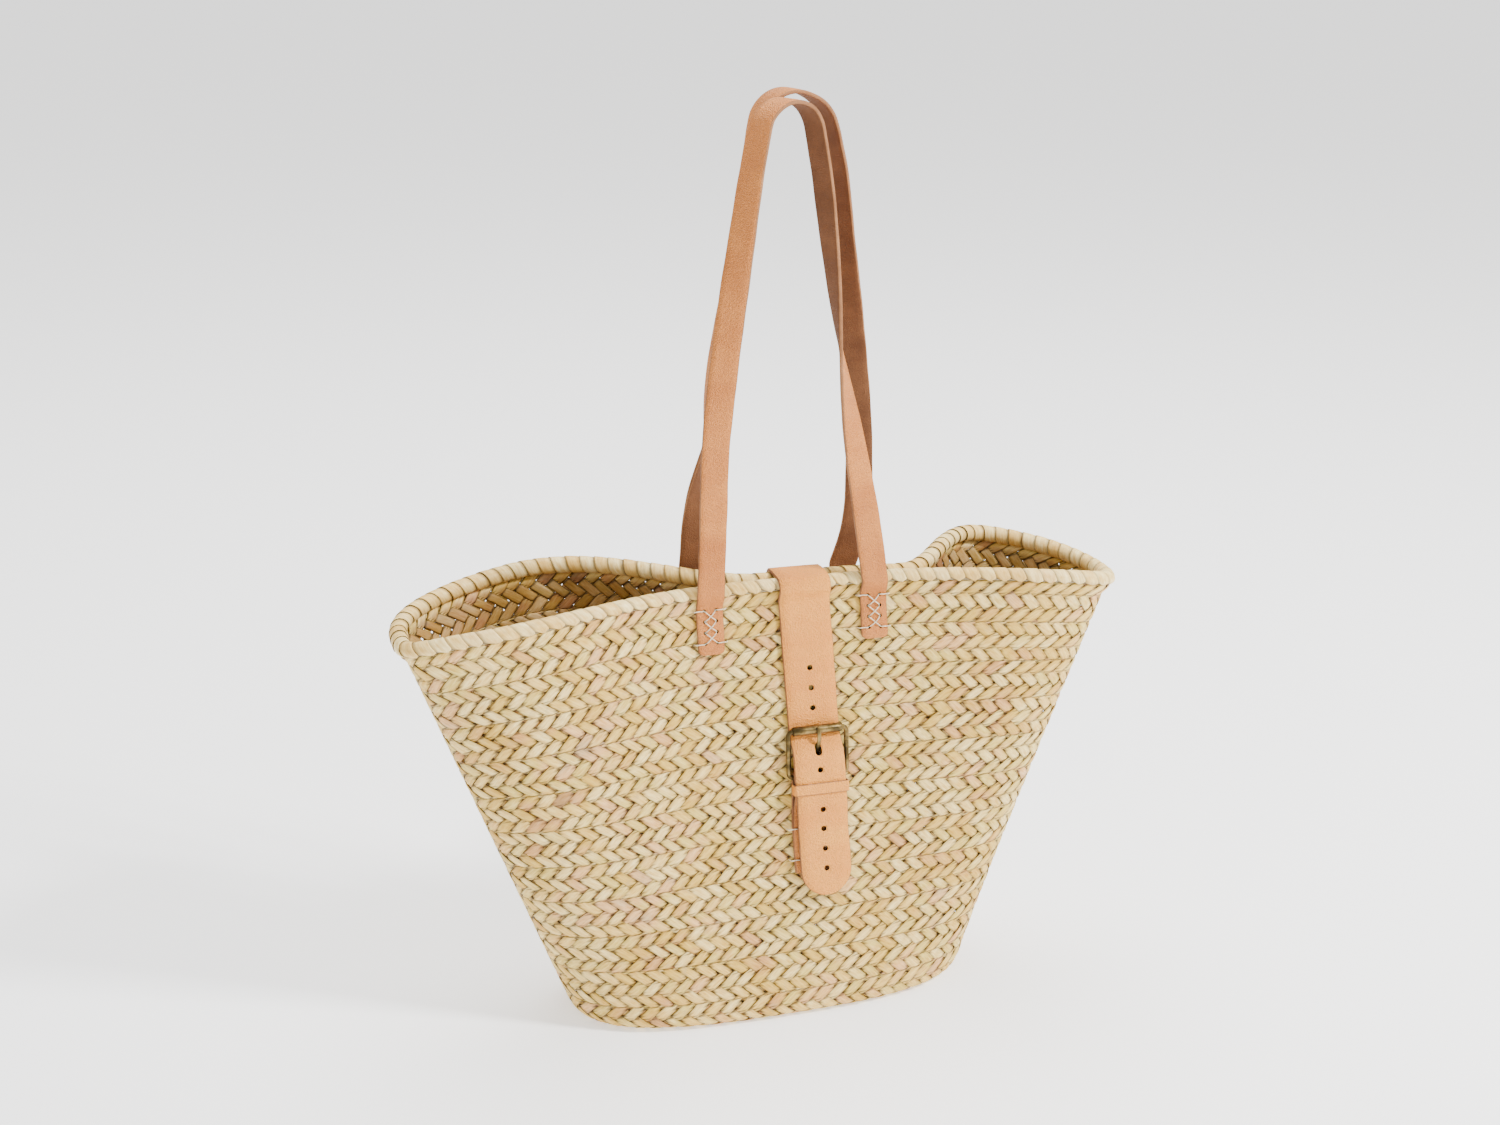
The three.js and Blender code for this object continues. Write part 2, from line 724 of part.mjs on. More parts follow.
function makeRoller({ group, length }) {
  const straight = buckle.clearWidth - 2 * buckle.insideCorner - gap;
  const tube = turnedRing(rollerInner, rollerOuter, straight, 12);
  const roller = piece("buckle_roller", tube, brass, group);
  roller.position.y = length;
}

// The prong: an eye round the heel bar and a shank that rises through the slot over the roller.
function makeProng({ group, length }) {
  const inner = buckle.barRadius + gap;
  const outer = inner + prong.eyeWall;
  const half = prong.width / 2;
  const deep = prong.thickness / 2;
  const over = rollerOuter + gap + deep;
  const line = [
    [inner + gap, 0],
    [length - prong.riseFrom, gap],
    [length - prong.riseMiddle, over / 2],
    [length - prong.riseTo, over],
    [length, over],
    [length + prong.overReach, over - deep],
  ];
  const sections = line.map(([y, z]) => [
    new THREE.Vector3(-half, y, z - deep),
    new THREE.Vector3(-half, y, z + deep),
    new THREE.Vector3(half, y, z + deep),
    new THREE.Vector3(half, y, z - deep),
  ]);
  piece("buckle_prong", turnedRing(inner, outer, prong.width, 12).add(bar(sections)), brass, group);
}

// The chape: one strap folded round the heel bar, with both layers laced to the wall.
function makeChape() {
  const arcSteps = 6;
  const row = (below, offset) => {
    const drift = smooth((below - chape.foldEnd) / (chapeLacing.firstRow - chape.foldEnd));
    const x = closureCentre(below) - THREE.MathUtils.lerp(chape.shift, chape.endShift, drift);
    return [-1, 1].map((edge) => onFace("front", x + (edge * chape.width) / 2, below, offset));
  };
  const arc = Array.from({ length: arcSteps + 1 }, (_, j) => {
    const angle = (j / arcSteps) * Math.PI;
    const below = buckle.heelAt - foldRadius * Math.sin(angle);
    return row(below, heelOffset - foldRadius * Math.cos(angle));
  });
  const rows = [
    row(chape.end, rest),
    ...arc,
    row(chape.foldEnd, heelOffset + foldRadius),
    row(chape.meetAt, chapeFace),
    row(chape.end, chapeFace),
  ];
  const slotMiddle = buckle.heelAt - chape.slotSpare / 2;
  const slot = punch(slotMiddle, 2 * foldRadius + chape.slotSpare, chape.slotWidth);
  const holes = lacingPins(row, chapeLacing, -gap, chapeFace + rest, lacing.hole, 4);
  piece("buckle_chape", ribbon(rows, chape.thickness).subtract(slot).subtract(holes), leather);
  const depth = chapeFace - rest;
  laceThread("chape_stitching", row, chapeLacing, chapeFace, depth);
}

// The keeper: a flat leather ring round the strap, held between the chape's layers.
function makeKeeper() {
  const top = buckle.heelAt + keeper.below;
  const { group } = strapGroup(
    closureRow("front", top + keeper.height, heelOffset),
    closureRow("front", top, heelOffset),
  );
  const halfWidth = closure.width / 2 + keeper.play;
  const back = keeper.thickness / 2;
  const front = overHeel + closure.thickness + rest - heelOffset;
  const box = (side, low, high) => [
    new THREE.Vector2(-side, low),
    new THREE.Vector2(side, low),
    new THREE.Vector2(side, high),
    new THREE.Vector2(-side, high),
  ];
  const outline = new THREE.Shape(
    box(halfWidth + keeper.thickness, -front - keeper.thickness, back),
  );
  outline.holes.push(new THREE.Path(box(halfWidth, -front, -back).reverse()));
  const band = new THREE.ExtrudeGeometry(outline, { depth: keeper.height, bevelEnabled: false });
  band.rotateX(-quarterTurn);
  piece("keeper_loop", solid(band), leatherPale, group);
}

makeBase();
makeCourses();
makeRim();
makeHandles();
makeClosure();
makeChape();
const buckleGroup = strapGroup(
  closureRow("front", buckle.heelAt, heelOffset),
  closureRow("front", buckle.rollerAt, rollerOffset),
);
makeBuckleFrame(buckleGroup);
makeRoller(buckleGroup);
makeProng(buckleGroup);
makeKeeper();

export default basket;
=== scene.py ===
import json
import math
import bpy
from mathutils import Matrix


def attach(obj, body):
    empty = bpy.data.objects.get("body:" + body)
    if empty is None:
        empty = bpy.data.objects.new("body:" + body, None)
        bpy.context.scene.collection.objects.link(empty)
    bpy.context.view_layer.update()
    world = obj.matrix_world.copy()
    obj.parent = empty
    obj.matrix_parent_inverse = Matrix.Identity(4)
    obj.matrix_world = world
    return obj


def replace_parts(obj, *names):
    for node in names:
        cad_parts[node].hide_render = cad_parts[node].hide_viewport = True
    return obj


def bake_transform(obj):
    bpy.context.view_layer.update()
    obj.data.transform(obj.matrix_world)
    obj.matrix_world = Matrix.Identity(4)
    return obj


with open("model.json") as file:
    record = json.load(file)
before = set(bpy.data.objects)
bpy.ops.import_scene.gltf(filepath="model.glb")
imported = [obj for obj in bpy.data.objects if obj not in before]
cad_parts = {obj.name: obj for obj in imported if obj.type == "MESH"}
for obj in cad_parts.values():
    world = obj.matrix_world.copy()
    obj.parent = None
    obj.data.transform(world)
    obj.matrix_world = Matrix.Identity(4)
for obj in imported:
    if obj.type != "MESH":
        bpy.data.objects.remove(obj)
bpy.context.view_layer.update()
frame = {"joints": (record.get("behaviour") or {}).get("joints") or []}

from types import SimpleNamespace as Sizes

import bpy
import numpy as np
from mathutils import Matrix, Vector

# A palm-leaf market basket: plaited wall and bottom, wrapped rim, leather straps, brass buckle.
# Sizes are in millimetres and agree with the frame; meshes are written in metres.
MM = 0.001

BASE = Sizes(half_length=160, half_width=73, squareness=2.75)
WALL = Sizes(slant=346, thickness=3, courses=11, foot_radius=14, foot_stretch=1.6)
MOUTH = Sizes(half_length=283, half_gap=9.2, tip_rise=3)
FRONT = Sizes(
    pinch_centre=18,
    pinch_half=62,
    left=Sizes(depth=57, fullness=0.44, spread=192),
    right=Sizes(depth=57, fullness=0.44, spread=192),
)
BACK = Sizes(
    pinch_centre=56,
    pinch_half=58,
    left=Sizes(depth=111, fullness=0.77, spread=184),
    right=Sizes(depth=144, fullness=1.14, spread=116),
)
RIM = Sizes(core_radius=5, radius=7)
STRAP = Sizes(width=21, thickness=3)
# A leg's outline lists heights and reaches from the handle's middle, as shares of the whole.
# It turns on edge from one distance along the leg, over another.
HANDLES = {
    "front": Sizes(
        left=Sizes(
            leg=-47.5,
            outline=[(0.17, 0.97), (0.32, 0.954), (0.52, 0.851), (0.72, 0.696), (0.91, 0.498), (0.978, 0.36)],
            twist_start=60,
            twist_length=350,
        ),
        right=Sizes(
            leg=84,
            outline=[(0.135, 0.895), (0.284, 0.774), (0.49, 0.62), (0.7, 0.5), (0.89, 0.36), (0.972, 0.23)],
            twist_start=0,
            twist_length=320,
        ),
        rise=368,
        apex=-0.06,
        lean=11.4,
    ),
    "back": Sizes(
        left=Sizes(
            leg=-46.5,
            outline=[(0.12, 0.96), (0.268, 0.87), (0.48, 0.69), (0.687, 0.45), (0.884, 0.27), (0.97, 0.14)],
            twist_start=0,
            twist_length=175,
        ),
        right=Sizes(
            leg=70,
            outline=[(0.1, 1.17), (0.25, 1.21), (0.46, 1.13), (0.667, 1.01), (0.87, 0.87), (0.965, 0.67)],
            twist_start=60,
            twist_length=330,
        ),
        rise=371,
        apex=0.2,
        lean=18,
    ),
}
TOP_TURN = math.radians(25)
LEAN_POWER = 1.5
TAB = Sizes(length=46.5, corner=4)
STEP_OUT = Sizes(start=9, start_share=0.33, end=5.5, end_share=0.8)
LACING = Sizes(rows=4, first_row=12, row_pitch=8.5, spacing=9.4, hole=1.3, overrun=8.5)
CLOSURE = Sizes(
    width=41,
    thickness=3,
    top_centre=27.6,
    tip_centre=34,
    back_length=58,
    fold_at=171,
    tip_at=245.5,
    first_hole=64.8,
    hole_pitch=15.9,
    holes=11,
    hole_radius=2.1,
    prong_hole=4,
    slot_length=9,
    slot_width=5.2,
    bend_length=20,
    bend_margin=4,
)
CLOSURE_LACING = Sizes(rows=3, first_row=22, row_pitch=13, spacing=26, hole=1.3, overrun=10)
BUCKLE = Sizes(
    roller_at=113,
    heel_at=149.7,
    width=51,
    bar_radius=1.9,
    roller_radius=3.5,
    roller_wall=1.2,
    corner_radius=3.5,
)
PRONG = Sizes(width=3.6, thickness=1.8, eye_wall=1.2, over_reach=3, rise_from=19, rise_middle=13, rise_to=4.5)
CHAPE = Sizes(
    width=40,
    thickness=1.8,
    end=226,
    fold_end=164,
    meet_at=176,
    slot_width=5.2,
    shift=0.4,
    end_shift=3.5,
)
CHAPE_LACING = Sizes(rows=2, first_row=191, row_pitch=25, spacing=30, hole=1.3, overrun=9)
KEEPER = Sizes(below=4.8, height=8.6, thickness=1.4, play=0.5)
GAP = 0.3
REST = 0.5

# The camera's angles are in degrees, and its places in metres.
CAMERA = Sizes(
    azimuth=-16.736,
    elevation=19.011,
    distance=1.7006,
    aim=(-0.00296, 0.02776, 0.3485),
    lens=52.46,
    sensor=36,
)
FLOOR = Sizes(reach=40, level=-0.0005)

QUARTER = 90
COLUMNS = 4 * QUARTER
TIP_CROWDING = 1.4
FOOT_ARC = WALL.foot_stretch * WALL.foot_radius
RIM_AT = FOOT_ARC + WALL.slant - WALL.foot_radius
BASE_REACH = BASE.half_width - WALL.foot_radius

UP = np.array([0.0, 0.0, 1.0])


# ---------------------------------------------------------------- small sums


def lerp(a, b, share):
    return a + (b - a) * share


def ease(value):
    share = np.clip(value, 0, 1)
    return share * share * (3 - 2 * share)


def unit(vectors):
    return vectors / np.maximum(np.linalg.norm(vectors, axis=-1, keepdims=True), 1e-9)


def along_path(points):
    """Distance along a path at each of its points."""
    steps = np.linalg.norm(np.diff(points, axis=0), axis=1)
    return np.concatenate([[0], np.cumsum(steps)])


def even_points(points, step):
    """A smooth path through the points, at even spacing, with the same treatment for each column."""
    points = np.asarray(points, float)
    before = 2 * points[0] - points[1]
    after = 2 * points[-1] - points[-2]
    padded = np.vstack([before, points, after])
    spans = np.maximum(np.linalg.norm(np.diff(padded[:, :3], axis=0), axis=1), 1e-6) ** 0.5
    fine = []
    for i in range(1, len(padded) - 2):
        p0, p1, p2, p3 = padded[i - 1 : i + 3]
        d0, d1, d2 = spans[i - 1 : i + 2]
        lead = ((p1 - p0) / d0 - (p2 - p0) / (d0 + d1) + (p2 - p1) / d1) * d1
        tail = ((p2 - p1) / d1 - (p3 - p1) / (d1 + d2) + (p3 - p2) / d2) * d1
        t = np.linspace(0, 1, 24, endpoint=False)[:, None]
        bend = (-3 * p1 + 3 * p2 - 2 * lead - tail) * t**2 + (2 * p1 - 2 * p2 + lead + tail) * t**3
        fine.append(p1 + lead * t + bend)
    fine = np.vstack([*fine, points[-1:]])
    reach = along_path(fine[:, :3])
    count = max(int(round(reach[-1] / step)), 2)
    goals = np.linspace(0, reach[-1], count + 1)
    return np.stack([np.interp(goals, reach, fine[:, j]) for j in range(fine.shape[1])], -1)


# ---------------------------------------------------------------- the wall's surface


def stations(plan):
    angles = np.linspace(0, math.pi / 2, 721)
    points = plan(angles)
    reach = along_path(points)
    shares = 1 - (1 - np.linspace(0, 1, QUARTER + 1)) ** TIP_CROWDING
    return np.stack([np.interp(shares * reach[-1], reach, points[:, j]) for j in range(2)], -1)


def base_plan(angle):
    power = 2 / BASE.squareness
    x = BASE.half_length * np.sin(angle) ** power
    return np.stack([x, BASE.half_width * np.maximum(np.cos(angle), 0) ** power], -1)


def mouth_plan(side, lobe, sign, angle):
    x = MOUTH.half_length * np.sin(angle)
    opening = ease((x - sign * side.pinch_centre - side.pinch_half) / lobe.spread)
    lobe_y = lobe.depth * np.maximum(np.cos(angle), 0) ** lobe.fullness
    return np.stack([x, lerp(MOUTH.half_gap, lobe_y, opening)], -1)


def wall_columns():
    """Matching points on the base and the mouth, all round from the front's middle."""
    foot = stations(base_plan)

    def quarter(side, lobe, sign_x, sign_y):
        top = stations(lambda angle: mouth_plan(side, lobe, sign_x, angle))
        run = np.hypot(*(top - foot).T)
        rise = MOUTH.tip_rise * (top[:, 0] / MOUTH.half_length) ** 4
        height = np.sqrt(WALL.slant**2 - run**2) + rise
        low = np.column_stack([sign_x * foot[:, 0], sign_y * foot[:, 1], 0 * height])
        high = np.column_stack([sign_x * top[:, 0], sign_y * top[:, 1], height])
        return np.hstack([low, high])

    round_it = np.vstack(
        [
            quarter(FRONT, FRONT.right, 1, -1)[:-1],
            quarter(BACK, BACK.right, 1, 1)[:0:-1],
            quarter(BACK, BACK.left, -1, 1)[:-1],
            quarter(FRONT, FRONT.left, -1, -1)[:0:-1],
        ]
    )
    return round_it[:, :3], round_it[:, 3:]


FOOT, TOP = wall_columns()
RISE = unit(TOP - FOOT)
AROUND_FOOT = np.roll(FOOT, -1, 0) - np.roll(FOOT, 1, 0)
INWARD = unit(np.column_stack([-AROUND_FOOT[:, 1], AROUND_FOOT[:, 0], 0 * AROUND_FOOT[:, 0]]))
SPINE = BASE.half_length - BASE.half_width


def outline(distance):
    """The outside of the basket at one distance up it from the bottom's edge; below 0 is the bottom."""
    start = FOOT + INWARD * WALL.foot_radius
    if distance <= 0:
        middle = np.column_stack([np.clip(start[:, 0], -SPINE, SPINE), 0 * start[:, 0], 0 * start[:, 0]])
        return lerp(start, middle, -distance / BASE_REACH)
    if distance > FOOT_ARC:
        return FOOT + RISE * (distance - FOOT_ARC + WALL.foot_radius)
    t = distance / FOOT_ARC
    end = FOOT + RISE * WALL.foot_radius
    return start * (1 - t) ** 2 + FOOT * 2 * t * (1 - t) + end * t * t


LEVELS = np.concatenate(
    [
        np.linspace(-BASE_REACH + 1, 0, 8)[:-1],
        np.linspace(0, FOOT_ARC, 9)[:-1],
        np.linspace(FOOT_ARC, RIM_AT + 12, 30),
    ]
)
SKIN = np.stack([outline(level) for level in LEVELS])
SKIN_OUT = unit(np.cross(np.roll(SKIN, -1, 1) - np.roll(SKIN, 1, 1), np.gradient(SKIN, axis=0)))
SKIN_OUT[LEVELS <= 0] = -UP


def on_wall(turn, distance, offset):
    """Points on the basket at a share of a turn, a distance up, and an offset out of its outside."""
    turn, distance, offset = np.broadcast_arrays(turn, distance, offset)
    column = np.mod(turn, 1) * COLUMNS
    left = np.floor(column).astype(int) % COLUMNS
    right = (left + 1) % COLUMNS
    across = (column - np.floor(column))[..., None]
    row = np.interp(distance, LEVELS, np.arange(len(LEVELS)))
    low = np.minimum(np.floor(row).astype(int), len(LEVELS) - 2)
    share = (row - low)[..., None]

    def at(grid):
        below = lerp(grid[low, left], grid[low, right], across)
        above = lerp(grid[low + 1, left], grid[low + 1, right], across)
        return lerp(below, above, share)

    return at(SKIN) + unit(at(SKIN_OUT)) * offset[..., None]


FACE_TURNS = {"front": np.linspace(-0.25, 0.25, 361), "back": np.linspace(0.75, 0.25, 361)}


def on_face(side, x, below, offset):
    """A point over the front or the back, at a length along X, below the rim's middle and out."""
    line = on_wall(FACE_TURNS[side], RIM_AT - below, offset)
    return np.array([x, np.interp(x, line[:, 0], line[:, 1]), np.interp(x, line[:, 0], line[:, 2])])


def face_across(side, x, below, offset, half):
    return unit(on_face(side, x + half, below, offset) - on_face(side, x - half, below, offset))


# ---------------------------------------------------------------- meshes


def new_object(name, mesh, body, materials):
    piece = bpy.data.objects.new(name, mesh)
    bpy.context.scene.collection.objects.link(piece)
    for material in materials:
        mesh.materials.append(material)
    if body:
        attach(piece, body)
    return piece


def ring_mesh(name, rings, closed=False, uv=None, face_materials=None, **values):
    """Strips swept from rings of points, shaped (strips, rings, points, 3), in millimetres.
    Each ring goes right-handed about its strip. Values are numbers for each point."""
    strips, length, around, _ = rings.shape
    index = np.arange(strips * length * around).reshape(strips, length, around)
    here, there = (index, np.roll(index, -1, 1)) if closed else (index[:, :-1], index[:, 1:])
    sides = np.stack([here, np.roll(here, -1, 2), np.roll(there, -1, 2), there], -1)
    faces = [sides.reshape(-1, 4)]
    painted = [np.broadcast_to(0 if face_materials is None else face_materials, sides.shape[:3]).ravel()]
    if not closed:
        low = np.arange(around // 2 - 1)
        cap = np.stack([low, low + 1, around - 2 - low, around - 1 - low], -1)
        faces += [index[:, -1][:, cap].reshape(-1, 4), index[:, 0][:, cap[:, ::-1]].reshape(-1, 4)]
        edge = 0 if face_materials is None else face_materials[-1]
        painted.append(np.full(2 * strips * len(low), edge))
    corners = np.vstack(faces)
    mesh = bpy.data.meshes.new(name)
    mesh.vertices.add(index.size)
    mesh.vertices.foreach_set("co", (rings * MM).astype(np.float32).ravel())
    mesh.loops.add(corners.size)
    mesh.loops.foreach_set("vertex_index", corners.astype(np.int32).ravel())
    mesh.polygons.add(len(corners))
    mesh.polygons.foreach_set("loop_start", np.arange(0, corners.size, 4, dtype=np.int32))
    mesh.polygons.foreach_set("material_index", np.concatenate(painted).astype(np.int32))
    mesh.polygons.foreach_set("use_smooth", np.ones(len(corners), bool))
    if uv is not None:
        flat = uv.reshape(-1, 2)[corners.ravel()]
        mesh.uv_layers.new(name="lengthwise").data.foreach_set("uv", flat.astype(np.float32).ravel())
    for key, value in values.items():
        spread = np.broadcast_to(value, index.shape).astype(np.float32).ravel()
        mesh.attributes.new(key, "FLOAT", "POINT").data.foreach_set("value", spread)
    mesh.update()
    mesh.validate()
    return mesh


# ---------------------------------------------------------------- the plaited wall and bottom

LEAF_PITCH = 12.4
ROWS = 6
PER_ROW = 4
LEAF_LIFT = 0.85
LEAF_CROWN = 0.5
PLAIT_MIDDLE = -1.35
TOP_SIDE = np.array([-1, -0.82, 0, 0.82, 1])
UNDER_SIDE = np.array([0.6, 0, -0.6])


def over_under(phase):
    """Over two crossings and under two: 1 on top, -1 underneath."""
    return np.clip(2.2 * np.sin(math.pi * (phase + 0.5) / 2), -1, 1)


def plait(name, low, high, seed, first=1, flare=0):
    """One turn of the braid: leaves slanting both ways, each over two and under two.
    The leaves slanting the first way start on top."""
    chance = np.random.default_rng(seed)
    turns = np.linspace(0, 1, 721)
    reach = along_path(on_wall(turns, (low + high) / 2, WALL.thickness / -2))
    leaves = int(round(reach[-1] / LEAF_PITCH))
    pitch = reach[-1] / leaves
    row = (high - low) / ROWS
    up = np.linspace(0, high - low, ROWS * PER_ROW + 1)[None, :, None]
    phase = up / row - 0.5
    across = np.concatenate([TOP_SIDE, UNDER_SIDE])[None, None, :]
    side = np.concatenate([np.ones(len(TOP_SIDE)), -np.ones(len(UNDER_SIDE))])
    swell = LEAF_CROWN * (1.06 - across**4) * side
    number = np.arange(leaves)[:, None, None]
    tuck = ease(np.minimum(up, high - low - up) / (0.7 * row) + 0.15)
    rings, uvs, tints, depths, painted_shades = [], [], [], [], []
    for slant in (1, -1):
        vary = lambda size: size * chance.uniform(-1, 1, (leaves, 1, 1))
        half = pitch * (0.475 + vary(0.05)) * (1 + 0.05 * np.sin(phase * 2 + vary(3)))
        bend = vary(0.5) * np.sin(phase * 0.9 + vary(3))
        sideways = (number + slant * phase / 2) * pitch + across * half + vary(0.7) + bend
        top_share = first * slant * over_under(phase + slant * across * half / pitch)
        height = LEAF_LIFT * top_share * tuck
        offset = PLAIT_MIDDLE + height + swell + vary(0.15)
        offset = offset + vary(0.3) * across * side
        # Painted shade: leaves are darkened where they dive under a crossing leaf and along their edges.
        dive = 1 - ease((np.abs(top_share) - 0.15) / 0.7)
        edge = ease((np.abs(across) - 0.55) / 0.45)
        painted_shades.append(np.clip(dive + 0.75 * edge, 0, 1))
        distance = low + up + 0 * sideways
        if flare:
            offset = offset + flare * ease((distance - high + 12) / 11)
        turn = np.interp(np.mod(sideways, reach[-1]), reach, turns)
        rings.append(on_wall(turn, distance, offset))
        length = np.hypot(row * phase, pitch * phase / 2) / 10 * np.sign(phase)
        start = chance.uniform(0, 40, (leaves, 1, 1))
        uvs.append(np.stack(np.broadcast_arrays((across + 1) / 2, length + start), -1))
        tints.append(np.broadcast_to(chance.uniform(0, 1, (leaves, 1, 1)), sideways.shape))
        # Depth into the wall. The material darkens deep points: partly the inner face's own darker tone,
        # partly painted shade on leaves passing under others.
        depths.append(np.clip(-offset / WALL.thickness, 0, 1))
    values = {"leaf_tint": tints, "inside": depths, "shelter": painted_shades}
    values = {key: np.concatenate(parts) for key, parts in values.items()}
    return ring_mesh(name, np.concatenate(rings), uv=np.concatenate(uvs), **values)


def make_plaited_body(leaf):
    wall_top = RIM_AT - RIM.core_radius - GAP
    height = wall_top / WALL.courses
    for k in range(WALL.courses):
        node = f"wall_course_{k + 1:02d}"
        last = k == WALL.courses - 1
        low, high = k * height, RIM_AT - 2.5 if last else (k + 1) * height
        mesh = plait(f"plaited_{node}", low, high, 100 + k, (-1) ** k, flare=3.2 if last else 0)
        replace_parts(new_object(mesh.name, mesh, "basket", [leaf]), node)
    half = BASE_REACH / 2
    for k in range(2):
        low, high = -BASE_REACH + 1 + k * half, -BASE_REACH + (k + 1) * half
        mesh = plait(f"plaited_bottom_{k + 1}", low, high, 90 + k, (-1) ** k)
        bottom = new_object(mesh.name, mesh, "basket", [leaf])
        if k == 0:
            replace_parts(bottom, "woven_base")


# ---------------------------------------------------------------- the wrapped rim

WRAP_PITCH = 11.8


def rim_frame(turn):
    middle = on_wall(turn, RIM_AT, WALL.thickness / -2)
    out = unit(on_wall(turn, RIM_AT, 1) - on_wall(turn, RIM_AT, 0))
    up = unit(on_wall(turn, RIM_AT, 0) - on_wall(turn, RIM_AT - 2, 0))
    return middle, up, out


def make_rim_wraps(leaf):
    chance = np.random.default_rng(7)
    turns = np.linspace(0, 1, 721)
    reach = along_path(on_wall(turns, RIM_AT, WALL.thickness / -2))
    wraps = int(round(reach[-1] / WRAP_PITCH))
    pitch = reach[-1] / wraps
    number = np.arange(wraps)[:, None, None]
    vary = lambda size: size * chance.uniform(-1, 1, (wraps, 1, 1))
    angle = np.radians(np.linspace(-165, 128, 34))[None, :, None] + vary(0.06)
    across = -np.concatenate([TOP_SIDE, UNDER_SIDE])[None, None, :]
    side = np.concatenate([np.ones(len(TOP_SIDE)), -np.ones(len(UNDER_SIDE))])
    narrowing = 1 - 0.75 * ease((angle - 1.55 - vary(0.15)) / 0.7)
    half = pitch * 0.6 * narrowing * (1 + vary(0.07))
    slide = 3.0 * (angle + 0.25 * angle**2 * (angle > 0)) / 1.5
    sideways = (number + 0.5) * pitch + slide + across * half + vary(0.5)
    swell = 0.3 * (1 - across**2) * side - 0.25 * (side < 0)
    radius = RIM.radius - 0.75 + 0.42 * across + swell + vary(0.12)
    radius = radius - 0.9 * ease((angle - 1.5) / 0.8)
    turn = np.interp(np.mod(sideways, reach[-1]), reach, turns)
    middle, up, out = rim_frame(turn)
    rings = middle + up * (radius * np.cos(angle))[..., None] + out * (radius * np.sin(angle))[..., None]
    length = RIM.radius * angle / 10 + chance.uniform(0, 40, (wraps, 1, 1))
    uv = np.stack(np.broadcast_arrays((across + 1) / 2, length), -1)
    tint = chance.uniform(0, 1, (wraps, 1, 1))
    # Painted shade: each wrap is darkened along one edge, beside the neighbouring wrap, and towards its lower
    # end, where it dives into the wall.
    shelter = ease((-across - 0.3) / 0.5) + 0.8 * ease((angle - 1.9) / 0.4)
    mesh = ring_mesh("rim_wraps", rings, uv=uv, leaf_tint=tint, inside=0, shelter=np.clip(shelter, 0, 1))
    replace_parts(new_object("rim_wraps", mesh, "basket", [leaf]), "rim_binding")


def make_rim_bundle(leaf):
    """The round bundle of leaf inside the wraps."""
    middle, up, out = rim_frame(np.arange(COLUMNS) / COLUMNS)
    angle = np.radians(np.arange(0, 360, 30))[None, :, None]
    around = up[:, None] * np.cos(angle) + out[:, None] * np.sin(angle)
    rings = middle[:, None] + (RIM.core_radius - GAP) * around
    mesh = ring_mesh("rim_bundle", rings[None], closed=True)
    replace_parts(new_object("rim_bundle", mesh, "basket", [leaf]), "rim_core")


# ---------------------------------------------------------------- leather

EDGE_ROUND = 0.45
TOP_FACES, BOTTOM_FACES = range(0, 5), range(8, 13)


def strap_profile(half, thickness):
    """The strap's section as (across, height) from its outer face down, right-handed about its length."""
    inner = np.array([-1, -0.6, -0.2, 0.2, 0.6, 1])
    flat = half[:, None] - EDGE_ROUND
    soft = 0.12
    top = np.stack([inner * flat, -soft * inner**4 + 0 * flat], -1)
    side = np.array([-0.25 * thickness, -0.75 * thickness])
    right = np.stack([half[:, None] + 0 * side, side + 0 * half[:, None]], -1)
    bottom = np.stack([-inner * flat, -thickness + soft * inner**4 + 0 * flat], -1)
    left = np.stack([-half[:, None] + 0 * side, side[::-1] + 0 * half[:, None]], -1)
    return np.concatenate([top, right, bottom, left], 1)


def strap_mesh(name, path, across, width, thickness, closed=False, seed=1):
    """A leather strap. The path is the middle of its outer face; its thickness is underneath."""
    tangent = np.gradient(path, axis=0)
    if closed:
        tangent = np.roll(path, -1, 0) - np.roll(path, 1, 0)
    tangent = unit(tangent)
    face = unit(np.cross(across, tangent))
    across = unit(np.cross(tangent, face))
    half = np.broadcast_to(np.asarray(width, float) / 2, len(path)).copy()
    reach = along_path(path)
    chance = np.random.default_rng(seed)
    if not closed:
        for wave in (17, 41):
            half += 0.09 * np.sin(reach / wave * 2 * math.pi / 2 + chance.uniform(0, 6))
    section = strap_profile(half, thickness)
    rings = path[:, None] + across[:, None] * section[..., :1] + face[:, None] * section[..., 1:]
    around = np.concatenate([[0], np.cumsum(np.linalg.norm(np.diff(section.mean(0), axis=0), axis=1))])
    uv = np.stack(np.broadcast_arrays(around[None, :] / 10, reach[:, None] / 10), -1)
    paint = np.full(section.shape[1], 2)
    paint[list(TOP_FACES)] = 0
    paint[list(BOTTOM_FACES)] = 1
    edge = np.abs(section[..., 0]) / half[:, None]
    return ring_mesh(name, rings[None], closed, uv=uv[None], face_materials=paint, edge_share=edge[None])


